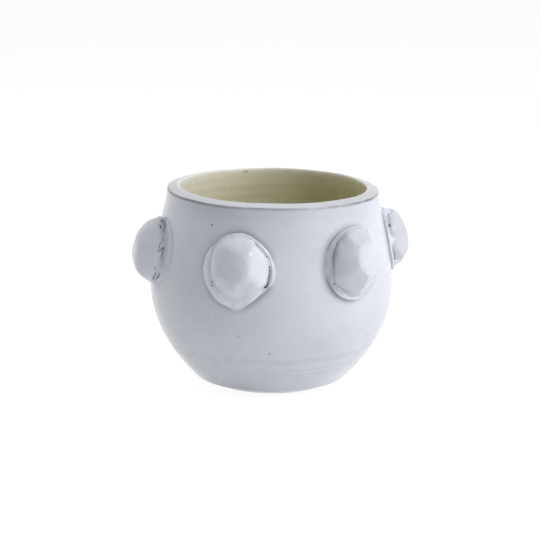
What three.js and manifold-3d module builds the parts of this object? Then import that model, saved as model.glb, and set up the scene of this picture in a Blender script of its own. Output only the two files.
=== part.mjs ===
// A hand-thrown round planter with six hand-formed bosses luted round its shoulder.
// Millimetres, +Z up. The origin is the centre of the foot, on the ground; -Y is the front.
import * as THREE from 'three';
import { mergeVertices } from 'three/addons/utils/BufferGeometryUtils.js';
import Module from 'manifold-3d';

const wasm = await Module();
wasm.setup();

// ---------------------------------------------------------------- driving dimensions

// The thrown vessel, outside.
const HEIGHT = 195.5; // ground to the crest of the lip
const BELLY_RADIUS = 120; // widest radius of the wall
const BELLY_HEIGHT = 100; // height of the widest place
const RIM_RADIUS = 104; // outer arris of the lip
const FOOT_RADIUS = 75.7; // where the trimmed foot bevel meets the belly curve
const FOOT_BEVEL_HEIGHT = 6.2;
const RESTING_RADIUS = 60.7; // outer edge of the ring that stands on the ground

// How far the belly curve holds each of its end directions.
const FOOT_FLARE_OUT = 19.2;
const FOOT_FLARE_UP = 18;
const BELLY_HOLD_BELOW = 43;
const BELLY_HOLD_ABOVE = 35;
const NECK_HOLD = 29.2;
const NECK_FLARE = 2.8;

// The lip: a bevel that falls outwards to a crisp arris, with a rounded inner edge.
const LIP_WIDTH = 12;
const LIP_FALL = 2.7;
const LIP_ROUND = 1.6;
const LIP_BLEND = 34; // depth over which the lip thins to the wall

// Inside and underneath.
const WALL = 10;
const FLOOR = 11;
const FLOOR_BEND = 20; // size of the curve that turns the wall into the floor
const RECESS_RADIUS = 50; // turned hollow inside the resting ring
const RECESS_DEPTH = 3;
const RECESS_SLOPE = 2.5;
const DRAIN_RADIUS = 9;
const DRAIN_EASE = 1.5; // softened upper edge of the drain hole

// Bosses: balls of clay pressed on to the wall. Each differs a little by hand.
const BOSS_WIDTH = 57;
const BOSS_LENGTH = 61.5;
const BOSS_PROUD = 23.5; // how far a boss stands out of the wall
const BOSS_SINK = 4; // depth of the ball's centre below the wall's face
const BOSS_BELOW_RIM = 57;
const FIRST_BOSS_AZIMUTH = -15; // degrees from the front, towards +X
const THUMB_FLATNESS = 0.75; // 1 presses a dead flat facet

// Luting coil: the soft ring of clay pressed round the foot of each boss.
const COIL_WIDTH = 7; // from the ball to the toe, where there is no tail
const COIL_HEIGHT = 5;
const COIL_TOE = 0.8; // lift of the smeared outer edge
const COIL_CREST = 2.4; // from the ball to the crest
const COIL_GROOVE = 2.2; // depth of the groove between the crest and the ball
const COIL_BITE = 7; // how far the raw ring reaches under the ball before it is cut
const COIL_SINK = 2; // how far the raw ring reaches into the wall before it is cut
const TAIL_SHARPNESS = 8;

const SEAT_GAP = 0.3; // clearance between two pieces that touch

// turn, degrees from an even spacing; lower, wider, longer and prouder, mm from the usual boss;
// tail, where the coil is dragged out, degrees round the boss from its right-hand side;
// drag, mm that the tail adds; thumbs, facets pressed into the ball.
const BOSSES = [
  {
    turn: 0.2, lower: 0, wider: 0, longer: 0.5, prouder: 0.5, tail: -98, drag: 7,
    thumbs: [
      { around: -35, tilt: 48, depth: 1.6 },
      { around: 118, tilt: 52, depth: 1.4 },
    ],
  },
  {
    turn: -1.8, lower: -1.5, wider: 0, longer: 0.5, prouder: -1, tail: -138, drag: 5,
    thumbs: [
      { around: 158, tilt: 50, depth: 1.8 },
      { around: -62, tilt: 50, depth: 1.2 },
    ],
  },
  {
    turn: -3, lower: 0, wider: 1, longer: -1.5, prouder: -0.5, tail: -75, drag: 3,
    thumbs: [
      { around: 90, tilt: 46, depth: 2 },
      { around: 0, tilt: 8, depth: 1 },
    ],
  },
  {
    turn: -1.5, lower: 0.5, wider: -0.5, longer: 0, prouder: 0, tail: -110, drag: 5,
    thumbs: [
      { around: 30, tilt: 50, depth: 1.6 },
      { around: -150, tilt: 46, depth: 1.2 },
    ],
  },
  {
    turn: -1, lower: -1, wider: 0.5, longer: 0, prouder: -0.5, tail: -60, drag: 4,
    thumbs: [
      { around: -120, tilt: 52, depth: 1.5 },
      { around: 70, tilt: 44, depth: 1.3 },
    ],
  },
  {
    turn: 0, lower: 3, wider: 1, longer: -0.5, prouder: 0.5, tail: -120, drag: 4,
    thumbs: [
      { around: 100, tilt: 58, depth: 1.4 },
      { around: -25, tilt: 40, depth: 1 },
    ],
  },
];

// Fineness of the facets.
const VESSEL_SEGMENTS = 72;
const OUTER_STEPS = 8;
const INNER_STEPS = 5;
const LIP_STEPS = 2;
const BEND_STEPS = 3;
const BALL_DETAIL = 5;
const COIL_SEGMENTS = 28;
const COIL_STEPS = 3;
const BISECTIONS = 24;

// ---------------------------------------------------------------- worked out from them

const ARRIS_HEIGHT = HEIGHT - LIP_FALL;
const MOUTH_RADIUS = RIM_RADIUS - LIP_WIDTH;
const FLOOR_TOP = RECESS_DEPTH + FLOOR;

// The belly curve in (radius, height), from the foot to the widest place and on to the rim.
const lowerWall = new THREE.CubicBezierCurve(
  new THREE.Vector2(FOOT_RADIUS, FOOT_BEVEL_HEIGHT),
  new THREE.Vector2(FOOT_RADIUS + FOOT_FLARE_OUT, FOOT_BEVEL_HEIGHT + FOOT_FLARE_UP),
  new THREE.Vector2(BELLY_RADIUS, BELLY_HEIGHT - BELLY_HOLD_BELOW),
  new THREE.Vector2(BELLY_RADIUS, BELLY_HEIGHT),
);
const upperWall = new THREE.CubicBezierCurve(
  new THREE.Vector2(BELLY_RADIUS, BELLY_HEIGHT),
  new THREE.Vector2(BELLY_RADIUS, BELLY_HEIGHT + BELLY_HOLD_ABOVE),
  new THREE.Vector2(RIM_RADIUS + NECK_FLARE, ARRIS_HEIGHT - NECK_HOLD),
  new THREE.Vector2(RIM_RADIUS, ARRIS_HEIGHT),
);

// ---------------------------------------------------------------- materials

function vesselGlaze() {
  return new THREE.MeshStandardMaterial({ color: 0xe3e5ea, roughness: 0.24, metalness: 0 });
}

function bossGlaze() {
  return new THREE.MeshStandardMaterial({ color: 0xe6e8ee, roughness: 0.2, metalness: 0 });
}

function coilGlaze() {
  return new THREE.MeshStandardMaterial({ color: 0xdcdee2, roughness: 0.28, metalness: 0 });
}

// ---------------------------------------------------------------- solids

function solidOf(geometry) {
  const bare = geometry.clone();
  bare.deleteAttribute('normal');
  bare.deleteAttribute('uv');
  const merged = mergeVertices(bare);
  return new wasm.Manifold(new wasm.Mesh({
    numProp: 3,
    vertProperties: merged.getAttribute('position').array,
    triVerts: new Uint32Array(merged.getIndex().array),
  }));
}

function geometryOf(solid) {
  const mesh = solid.getMesh();
  const geometry = new THREE.BufferGeometry();
  geometry.setAttribute('position', new THREE.BufferAttribute(mesh.vertProperties, 3));
  geometry.setIndex(new THREE.BufferAttribute(mesh.triVerts, 1));
  geometry.computeVertexNormals();
  return geometry;
}

function pieceOf(name, solid, material) {
  const piece = new THREE.Mesh(geometryOf(solid), material);
  piece.name = name;
  return piece;
}

// A profile in (radius, height), turned about +Z.
function turned(profile, segments) {
  return new THREE.LatheGeometry(profile, segments).rotateX(Math.PI / 2);
}

// ---------------------------------------------------------------- the wall

// The place between low and high where a rising function passes the target.
function solveFor(rising, target, low, high) {
  let below = low;
  let above = high;
  for (let i = 0; i < BISECTIONS; i += 1) {
    const middle = (below + above) / 2;
    if (rising(middle) < target) below = middle;
    else above = middle;
  }
  return (below + above) / 2;
}

// The direction square to a wall curve, away from the axis.
function outwardAt(curve, t) {
  const along = curve.getTangent(t);
  return new THREE.Vector2(along.y, -along.x);
}

function wallAt(height) {
  const curve = height < BELLY_HEIGHT ? lowerWall : upperWall;
  const t = solveFor((u) => curve.getPoint(u).y, height, 0, 1);
  return { radius: curve.getPoint(t).x, outward: outwardAt(curve, t) };
}

// Points of the belly curve from the foot to the rim, grown outwards.
function outerWall(growth) {
  const points = [];
  for (const curve of [lowerWall, upperWall]) {
    const first = curve === lowerWall ? 0 : 1;
    for (let i = first; i <= OUTER_STEPS; i += 1) {
      const t = i / OUTER_STEPS;
      points.push(curve.getPoint(t).addScaledVector(outwardAt(curve, t), growth));
    }
  }
  return points;
}

// The inside face stands one wall inwards, and thickens to the lip near the rim.
function insideAt(curve, t) {
  const point = curve.getPoint(t);
  const nearLip = THREE.MathUtils.smoothstep(point.y, ARRIS_HEIGHT - LIP_BLEND, ARRIS_HEIGHT);
  const thickness = THREE.MathUtils.lerp(WALL, LIP_WIDTH, nearLip);
  return point.addScaledVector(outwardAt(curve, t), -thickness);
}

// ---------------------------------------------------------------- thrown vessel

function footProfile() {
  return [
    new THREE.Vector2(RECESS_RADIUS, RECESS_DEPTH),
    new THREE.Vector2(RECESS_RADIUS + RECESS_SLOPE, 0),
    new THREE.Vector2(RESTING_RADIUS, 0),
  ];
}

// The rounded inner edge of the lip, from its crest to the mouth.
function lipProfile() {
  const points = [];
  for (let i = 0; i <= LIP_STEPS; i += 1) {
    const angle = (Math.PI / 2) * (1 + i / LIP_STEPS);
    points.push(new THREE.Vector2(
      MOUTH_RADIUS + LIP_ROUND * (1 + Math.cos(angle)),
      HEIGHT - LIP_ROUND * (1 - Math.sin(angle)),
    ));
  }
  return points;
}

// The inside, from below the lip down to the drain hole.
function insideProfile() {
  const top = FLOOR_TOP + FLOOR_BEND;
  const bendStart = solveFor((u) => insideAt(lowerWall, u).y, top, 0, 1);
  const points = [];
  for (let i = INNER_STEPS; i > 0; i -= 1) points.push(insideAt(upperWall, i / INNER_STEPS));
  for (let i = INNER_STEPS; i > 0; i -= 1) {
    points.push(insideAt(lowerWall, THREE.MathUtils.lerp(bendStart, 1, i / INNER_STEPS)));
  }
  const start = insideAt(lowerWall, bendStart);
  const along = lowerWall.getTangent(bendStart);
  const corner = start.clone().addScaledVector(along, -FLOOR_BEND / along.y);
  const end = new THREE.Vector2(corner.x - FLOOR_BEND, FLOOR_TOP);
  points.push(...new THREE.QuadraticBezierCurve(start, corner, end).getPoints(BEND_STEPS));
  return points;
}

function drainProfile() {
  return [
    new THREE.Vector2(DRAIN_RADIUS + DRAIN_EASE, FLOOR_TOP),
    new THREE.Vector2(DRAIN_RADIUS, FLOOR_TOP - DRAIN_EASE),
    new THREE.Vector2(DRAIN_RADIUS, RECESS_DEPTH),
  ];
}

function thrownVessel() {
  const profile = [
    ...footProfile(),
    ...outerWall(0),
    ...lipProfile(),
    ...insideProfile(),
    ...drainProfile(),
  ];
  profile.push(profile[0].clone());
  return pieceOf('thrown_vessel', solidOf(turned(profile, VESSEL_SEGMENTS)), vesselGlaze());
}

// Everything that the vessel's wall encloses, with the seat gap round it.
function wallCutter() {
  const profile = outerWall(SEAT_GAP);
  profile.unshift(new THREE.Vector2(0, profile[0].y));
  profile.push(new THREE.Vector2(0, profile[profile.length - 1].y));
  return solidOf(turned(profile, VESSEL_SEGMENTS));
}

// ---------------------------------------------------------------- bosses and their coils

// A boss's place on the wall: x runs round the wall, y up it, and z square out of it.
function seatOf(boss, index) {
  const height = HEIGHT - BOSS_BELOW_RIM - boss.lower;
  const wall = wallAt(height);
  const degrees = FIRST_BOSS_AZIMUTH + (360 / BOSSES.length) * index + boss.turn;
  const azimuth = THREE.MathUtils.degToRad(degrees);
  const radial = new THREE.Vector3(Math.sin(azimuth), -Math.cos(azimuth), 0);
  const round = new THREE.Vector3(Math.cos(azimuth), Math.sin(azimuth), 0);
  const outward = radial.clone().multiplyScalar(wall.outward.x).setZ(wall.outward.y);
  const upward = new THREE.Vector3().crossVectors(outward, round);
  return new THREE.Matrix4()
    .makeBasis(round, upward, outward)
    .setPosition(radial.multiplyScalar(wall.radius).setZ(height));
}

function ballRadii(boss, growth) {
  return new THREE.Vector3(
    (BOSS_WIDTH + boss.wider) / 2 + growth,
    (BOSS_LENGTH + boss.longer) / 2 + growth,
    BOSS_PROUD + boss.prouder + BOSS_SINK + growth,
  );
}

// Flattens the ball a little where a thumb pressed it.
function pressThumb(geometry, radii, thumb) {
  const around = THREE.MathUtils.degToRad(thumb.around);
  const tilt = THREE.MathUtils.degToRad(thumb.tilt);
  const toward = new THREE.Vector3(
    Math.sin(tilt) * Math.cos(around),
    Math.sin(tilt) * Math.sin(around),
    Math.cos(tilt),
  );
  const limit = toward.clone().multiply(radii).length() - thumb.depth;
  const positions = geometry.getAttribute('position');
  const point = new THREE.Vector3();
  for (let i = 0; i < positions.count; i += 1) {
    point.fromBufferAttribute(positions, i);
    const excess = Math.max(0, point.dot(toward) - limit);
    point.addScaledVector(toward, -excess * THUMB_FLATNESS);
    positions.setXYZ(i, point.x, point.y, point.z);
  }
}

// The whole pressed ball, before the wall is cut out of its back.
function pressedBall(boss, growth) {
  const radii = ballRadii(boss, growth);
  const geometry = new THREE.IcosahedronGeometry(1, BALL_DETAIL).scale(...radii.toArray());
  for (const thumb of boss.thumbs) pressThumb(geometry, radii, thumb);
  return solidOf(geometry.translate(0, 0, -BOSS_SINK));
}

// The coil's section in (distance from the ball, lift from the wall), with its last point first.
function coilSection() {
  const flank = new THREE.CubicBezierCurve(
    new THREE.Vector2(COIL_WIDTH, COIL_TOE),
    new THREE.Vector2((COIL_WIDTH + COIL_CREST) / 2, COIL_TOE),
    new THREE.Vector2((COIL_WIDTH + COIL_CREST) / 2, COIL_HEIGHT),
    new THREE.Vector2(COIL_CREST, COIL_HEIGHT),
  );
  return [
    new THREE.Vector2(-COIL_BITE, -COIL_SINK),
    new THREE.Vector2(COIL_WIDTH, -COIL_SINK),
    ...flank.getPoints(COIL_STEPS),
    new THREE.Vector2(0, COIL_HEIGHT - COIL_GROOVE),
    new THREE.Vector2(-COIL_BITE, COIL_HEIGHT - COIL_GROOVE),
    new THREE.Vector2(-COIL_BITE, -COIL_SINK),
  ];
}

// How far the wall's face lies from the seat's own plane, at a place on that plane.
function wallLift(seat, x, y) {
  const proud = (z) => {
    const point = new THREE.Vector3(x, y, z).applyMatrix4(seat);
    return Math.hypot(point.x, point.y) - wallAt(point.z).radius;
  };
  return solveFor(proud, 0, -BELLY_RADIUS / 2, BELLY_RADIUS / 2);
}

// A ring of the coil's section that follows the ball's edge and lies along the wall.
function rawCoil(boss, seat) {
  const radii = ballRadii(boss, 0);
  const reach = BELLY_RADIUS;
  const section = coilSection().map((p) => new THREE.Vector2(p.x + reach, p.y));
  const ring = turned(section, COIL_SEGMENTS);
  const positions = ring.getAttribute('position');
  for (let i = 0; i < positions.count; i += 1) {
    const angle = Math.atan2(positions.getY(i), positions.getX(i));
    const offset = Math.hypot(positions.getX(i), positions.getY(i)) - reach;
    const edge = (radii.x * radii.y) / Math.hypot(radii.y * Math.cos(angle), radii.x * Math.sin(angle));
    const facing = Math.max(0, Math.cos(angle - THREE.MathUtils.degToRad(boss.tail)));
    const dragged = 1 + (boss.drag / COIL_WIDTH) * facing ** TAIL_SHARPNESS;
    const distance = edge + (offset > 0 ? offset * dragged : offset);
    const x = distance * Math.cos(angle);
    const y = distance * Math.sin(angle);
    positions.setXYZ(i, x, y, positions.getZ(i) + wallLift(seat, x, y));
  }
  return solidOf(ring);
}

// One boss with its coil, both cut to the wall that they sit on.
function lutedBoss(boss, index, cutter) {
  const seat = seatOf(boss, index);
  const number = index + 1;
  const wall = cutter.transform(seat.clone().invert().toArray());
  const ball = pressedBall(boss, 0).subtract(wall);
  const coil = rawCoil(boss, seat).subtract(wall).subtract(pressedBall(boss, SEAT_GAP));
  const group = new THREE.Group();
  seat.decompose(group.position, group.quaternion, group.scale);
  group.add(pieceOf(`boss_${number}`, ball, bossGlaze()));
  group.add(pieceOf(`luting_coil_${number}`, coil, coilGlaze()));
  return group;
}

// ---------------------------------------------------------------- assembly

function planter() {
  const group = new THREE.Group();
  const cutter = wallCutter();
  group.add(thrownVessel());
  BOSSES.forEach((boss, index) => group.add(lutedBoss(boss, index, cutter)));
  return group;
}

const group = planter();

export default group;
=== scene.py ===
"""A hand-thrown round planter with six pressed bosses, in white tin glaze over dark clay.

Metres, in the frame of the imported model: +Z up, the centre of the foot at the origin, -Y to
the front. Azimuths run in degrees from the front towards +X.
"""

from __future__ import annotations

import logging
import math
from dataclasses import dataclass, field, replace
from enum import Enum
from functools import cached_property

import bpy
import numpy as np
from mathutils import Matrix, Vector, noise

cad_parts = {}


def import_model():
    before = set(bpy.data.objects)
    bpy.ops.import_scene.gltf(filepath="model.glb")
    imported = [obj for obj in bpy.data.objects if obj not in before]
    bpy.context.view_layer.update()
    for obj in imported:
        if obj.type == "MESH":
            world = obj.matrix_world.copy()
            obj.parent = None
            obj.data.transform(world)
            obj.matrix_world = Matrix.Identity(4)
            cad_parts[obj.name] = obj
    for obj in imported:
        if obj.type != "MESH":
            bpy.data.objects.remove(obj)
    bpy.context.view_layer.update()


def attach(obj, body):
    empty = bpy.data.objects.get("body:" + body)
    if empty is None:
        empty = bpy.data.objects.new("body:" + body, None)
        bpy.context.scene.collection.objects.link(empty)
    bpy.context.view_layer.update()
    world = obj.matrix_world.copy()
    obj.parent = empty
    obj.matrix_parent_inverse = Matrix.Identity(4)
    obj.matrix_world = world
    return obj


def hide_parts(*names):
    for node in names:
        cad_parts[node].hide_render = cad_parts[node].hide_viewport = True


log = logging.getLogger("planter")

MM = 0.001
WELD = 0.002 * MM  # vertices closer than this become one
FINE_STEPS = 400  # points with which the length of a curve is measured

Socket = bpy.types.NodeSocket
Colour = tuple[float, float, float]
Table = tuple[tuple[float, float], ...]
Array = np.ndarray
Piece = bpy.types.Object
Finish = bpy.types.Material


# ---- the bench


class Bench:
    """Operators act on all that is selected, so each job starts with nothing selected."""

    @staticmethod
    def clear() -> None:
        """Leave edit mode and deselect everything."""
        if bpy.context.object is not None and bpy.context.object.mode != "OBJECT":
            bpy.ops.object.mode_set(mode="OBJECT")
        bpy.ops.object.select_all(action="DESELECT")

    @staticmethod
    def take(piece: Piece) -> None:
        """Select one piece alone and make it active."""
        Bench.clear()
        piece.select_set(True)
        bpy.context.view_layer.objects.active = piece

    @staticmethod
    def open_mesh(piece: Piece) -> None:
        """Open a piece in edit mode with its whole mesh selected."""
        Bench.take(piece)
        bpy.ops.object.mode_set(mode="EDIT")
        bpy.ops.mesh.select_all(action="SELECT")

    @staticmethod
    def close_mesh(piece: Piece) -> None:
        """Merge doubles, turn all faces outwards and go back to object mode.

        Args:
            piece: the piece whose mesh is open in edit mode.
        """
        bpy.ops.mesh.select_all(action="SELECT")
        bpy.ops.mesh.remove_doubles(threshold=WELD)
        bpy.ops.mesh.normals_make_consistent(inside=False)
        bpy.ops.object.mode_set(mode="OBJECT")
        Bench.take(piece)
        bpy.ops.object.transform_apply(location=True, rotation=True, scale=True)

    @staticmethod
    def read(piece: Piece) -> Array:
        """Read the vertices of a piece.

        Args:
            piece: a mesh object.

        Returns:
            The places as an array of rows (x, y, z).
        """
        flat = np.empty(len(piece.data.vertices) * 3)
        piece.data.vertices.foreach_get("co", flat)
        return flat.reshape(-1, 3)

    @staticmethod
    def write(piece: Piece, places: Array) -> None:
        """Move the vertices of a piece to new places."""
        flat = np.ascontiguousarray(places, dtype=np.float64).ravel()
        piece.data.vertices.foreach_set("co", flat)
        piece.data.update()

    @staticmethod
    def mark(piece: Piece, name: str, values: Array) -> None:
        """Store one number for each vertex, which a material can read by name."""
        layer = piece.data.attributes.new(name, "FLOAT", "POINT")
        layer.data.foreach_set("value", np.ascontiguousarray(values, dtype=np.float32))


# ---- small sums and curves


def bell(off: Array, width: Array | float) -> Array:
    """A soft hump: 1 where off is 0, and almost 0 at twice the width."""
    return np.exp(-((off / width) ** 2))


def eased(share: Array) -> Array:
    """A share from 0 to 1 with soft ends."""
    return share * share * (3 - 2 * share)


def unit(rows: Array) -> Array:
    """Each row brought to a length of 1."""
    return rows / np.linalg.norm(rows, axis=1, keepdims=True)


def reach_of(places: Array) -> Array:
    """How far each place lies from the axis, or from the middle of its seat."""
    return np.hypot(places[:, 0], places[:, 1])


def azimuth_of(places: Array) -> Array:
    """The azimuth of each place of the frame in radians."""
    return np.arctan2(places[:, 0], -places[:, 1])


def angle_of(local: Array) -> Array:
    """The angle of each place round its seat in radians, from its right-hand side."""
    return np.arctan2(local[:, 1], local[:, 0])


def apart(angle: Array, degrees: float) -> Array:
    """How far angles in radians lie from a direction, the short way round."""
    return np.angle(np.exp(1j * (angle - math.radians(degrees))))


def bend(start: Array, corner: Array, end: Array, steps: int) -> Array:
    """Round a corner with a quadratic curve of some steps, from start to end."""
    t = np.linspace(0.0, 1.0, steps + 1)[:, None]
    return (1 - t) ** 2 * start + 2 * t * (1 - t) * corner + t**2 * end


def straight(start: tuple[float, float], end: tuple[float, float], spacing: float) -> Array:
    """Points along a straight line, its end left out."""
    count = max(1, round(math.dist(start, end) / spacing))
    t = np.linspace(0.0, 1.0, count, endpoint=False)[:, None]
    return (1 - t) * np.array(start) + t * np.array(end)


@dataclass(frozen=True)
class Cubic:
    """A cubic Bezier curve in (radius, height)."""

    start: tuple[float, float]
    leave: tuple[float, float]
    arrive: tuple[float, float]
    end: tuple[float, float]

    @cached_property
    def corners(self) -> tuple[Array, ...]:
        """The four points that pull the curve."""
        return tuple(np.array(p) for p in (self.start, self.leave, self.arrive, self.end))

    def at(self, t: Array) -> Array:
        """Points of the curve at parameters from 0 to 1."""
        t = np.atleast_1d(t)[:, None]
        a, b, c, d = self.corners
        return (1 - t) ** 3 * a + 3 * t * (1 - t) ** 2 * b + 3 * t**2 * (1 - t) * c + t**3 * d

    def outward(self, t: Array) -> Array:
        """Unit directions square to the curve, away from the axis."""
        t = np.atleast_1d(t)[:, None]
        a, b, c, d = self.corners
        along = unit((1 - t) ** 2 * (b - a) + 2 * t * (1 - t) * (c - b) + t**2 * (d - c))
        return np.column_stack((along[:, 1], -along[:, 0]))

    def steps(self, spacing: float) -> Array:
        """Evenly spaced parameters along the curve.

        Args:
            spacing: the distance between two points.

        Returns:
            The parameters, with 0 and 1 among them.
        """
        fine = np.linspace(0.0, 1.0, FINE_STEPS)
        points = self.at(fine)
        run = np.concatenate(([0.0], np.cumsum(np.linalg.norm(np.diff(points, axis=0), axis=1))))
        count = max(2, round(run[-1] / spacing))
        return np.interp(np.linspace(0.0, run[-1], count + 1), run, fine)


# ---- the thrown wall


@dataclass(frozen=True)
class ThrowingRing:
    """A shallow groove that a fingertip or rib left in the turning wall."""

    height: float
    depth: float
    breadth: float
    strongest: float  # azimuth where it is deepest
    climb: float  # how much it rises in one turn
    evenness: float = 0.55  # its mean depth as a share of the deepest

    def cut(self, azimuth: Array, height: Array) -> Array:
        """How deep it is at some places.

        Args:
            azimuth: azimuths in radians.
            height: heights in metres.

        Returns:
            Distances into the wall.
        """
        middle = self.height + self.climb * azimuth / math.tau
        facing = np.cos(azimuth - math.radians(self.strongest))
        share = self.evenness + (1 - self.evenness) * facing
        return self.depth * share * bell(height - middle, self.breadth)


@dataclass(frozen=True)
class Wave:
    """A slow wave that runs round the pot."""

    swell: float
    count: int  # how many times it rises in one turn
    start: float  # radians
    climb: float = 0.0  # radians for each metre of height

    def at(self, azimuth: Array, height: Array) -> Array:
        """Its swell at some azimuths in radians and heights in metres."""
        return self.swell * np.sin(self.count * azimuth + self.start + self.climb * height)


@dataclass(frozen=True)
class ThrownWall:
    """The potter's wall: the outside curve, its ripples, and how the pot leans."""

    height: float = 195.5 * MM
    belly_radius: float = 120 * MM
    belly_height: float = 100 * MM
    rim_radius: float = 104 * MM
    foot_radius: float = 75.7 * MM
    bevel_height: float = 6.2 * MM
    resting_radius: float = 60.7 * MM
    lip_fall: float = 2.7 * MM
    foot_pull: tuple[float, float] = (19.2 * MM, 18 * MM)  # out and up from the foot
    belly_pull: tuple[float, float] = (43 * MM, 35 * MM)  # down and up from the belly
    rim_pull: tuple[float, float] = (2.8 * MM, 29.2 * MM)  # out and down from the rim
    rings: tuple[ThrowingRing, ...] = (
        ThrowingRing(45.0 * MM, 0.46 * MM, 1.0 * MM, 22, 2.0 * MM),
        ThrowingRing(41.5 * MM, 0.24 * MM, 1.5 * MM, -10, 2.0 * MM),
        ThrowingRing(33.0 * MM, 0.20 * MM, 1.4 * MM, 40, -1.0 * MM),
        ThrowingRing(27.0 * MM, 0.38 * MM, 1.1 * MM, 15, 1.5 * MM),
        ThrowingRing(19.0 * MM, 0.20 * MM, 1.3 * MM, -25, 1.0 * MM),
        ThrowingRing(64.0 * MM, 0.10 * MM, 2.2 * MM, 150, 3.0 * MM),
        ThrowingRing(92.0 * MM, 0.08 * MM, 2.6 * MM, 60, -3.0 * MM),
        ThrowingRing(181.0 * MM, 0.10 * MM, 1.6 * MM, -60, 1.0 * MM),
    )
    waves: tuple[Wave, ...] = (
        Wave(0.40 * MM, 2, 0.7), Wave(0.24 * MM, 3, 2.1, 22), Wave(0.16 * MM, 5, -1.0, 34),
        Wave(0.12 * MM, 7, 0.0, 61),
    )
    settled: float = 12 * MM  # height up to which the foot holds the waves back
    ripple_pitch: float = 8.6 * MM
    ripple_swell: float = 0.07 * MM
    ripple_start: float = 8 * MM
    ripple_rise: float = 14 * MM
    ripple_fade: float = 90 * MM
    ripple_least: float = 0.25
    lean_shift: float = 1.27 * MM
    lean_fall: float = math.tan(math.radians(0.41))
    slump: float = 0.15 * MM

    @cached_property
    def lower(self) -> Cubic:
        """The curve from the foot bevel to the belly."""
        foot = (self.foot_radius, self.bevel_height)
        belly = (self.belly_radius, self.belly_height)
        leave = (foot[0] + self.foot_pull[0], foot[1] + self.foot_pull[1])
        return Cubic(foot, leave, (belly[0], belly[1] - self.belly_pull[0]), belly)

    @cached_property
    def upper(self) -> Cubic:
        """The curve from the belly to the rim's arris."""
        belly = (self.belly_radius, self.belly_height)
        rim = (self.rim_radius, self.height - self.lip_fall)
        arrive = (rim[0] + self.rim_pull[0], rim[1] - self.rim_pull[1])
        return Cubic(belly, (belly[0], belly[1] + self.belly_pull[1]), arrive, rim)

    @cached_property
    def table(self) -> Array:
        """Points of the whole outside curve, close enough to read a radius between them."""
        t = np.linspace(0.0, 1.0, 300)
        return np.vstack((self.lower.at(t), self.upper.at(t[1:])))

    def radius(self, height: Array) -> Array:
        """The even radius of the outside at some heights."""
        return np.interp(height, self.table[:, 1], self.table[:, 0])

    def wobble(self, azimuth: Array, height: Array) -> Array:
        """How far the hand left the whole wall out of round, outwards."""
        slow = sum(wave.at(azimuth, height) for wave in self.waves)
        return slow * np.clip(height / self.settled, 0.0, 1.0)

    def throwing_marks(self, azimuth: Array, height: Array) -> Array:
        """The rings that fingers left in the outside.

        Args:
            azimuth: azimuths in radians.
            height: heights in metres.

        Returns:
            Outward distances, negative in a groove.
        """
        rise = np.clip((height - self.ripple_start) / self.ripple_rise, 0, 1)
        fade = rise * np.clip(1.5 - height / self.ripple_fade, self.ripple_least, 1)
        marks = self.ripple_swell * fade * np.sin(math.tau * height / self.ripple_pitch - azimuth)
        return marks - sum(ring.cut(azimuth, height) for ring in self.rings)

    def face(self, azimuth: Array, height: Array) -> Array:
        """The radius of the worked outside, with its wobble and throwing marks."""
        marks = self.throwing_marks(azimuth, height)
        return self.radius(height) + self.wobble(azimuth, height) + marks

    def settle(self, places: Array) -> Array:
        """Lean the upper part of the pot as the real one leans.

        Args:
            places: rows (x, y, z).

        Returns:
            The same rows, moved a little near the rim.
        """
        share = (np.clip(places[:, 2], 0, None) / self.height) ** 4
        moved = places.copy()
        moved[:, 2] -= (self.slump + self.lean_fall * places[:, 0]) * share
        moved[:, 0] += self.lean_shift * share
        return moved


# ---- node board


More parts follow.
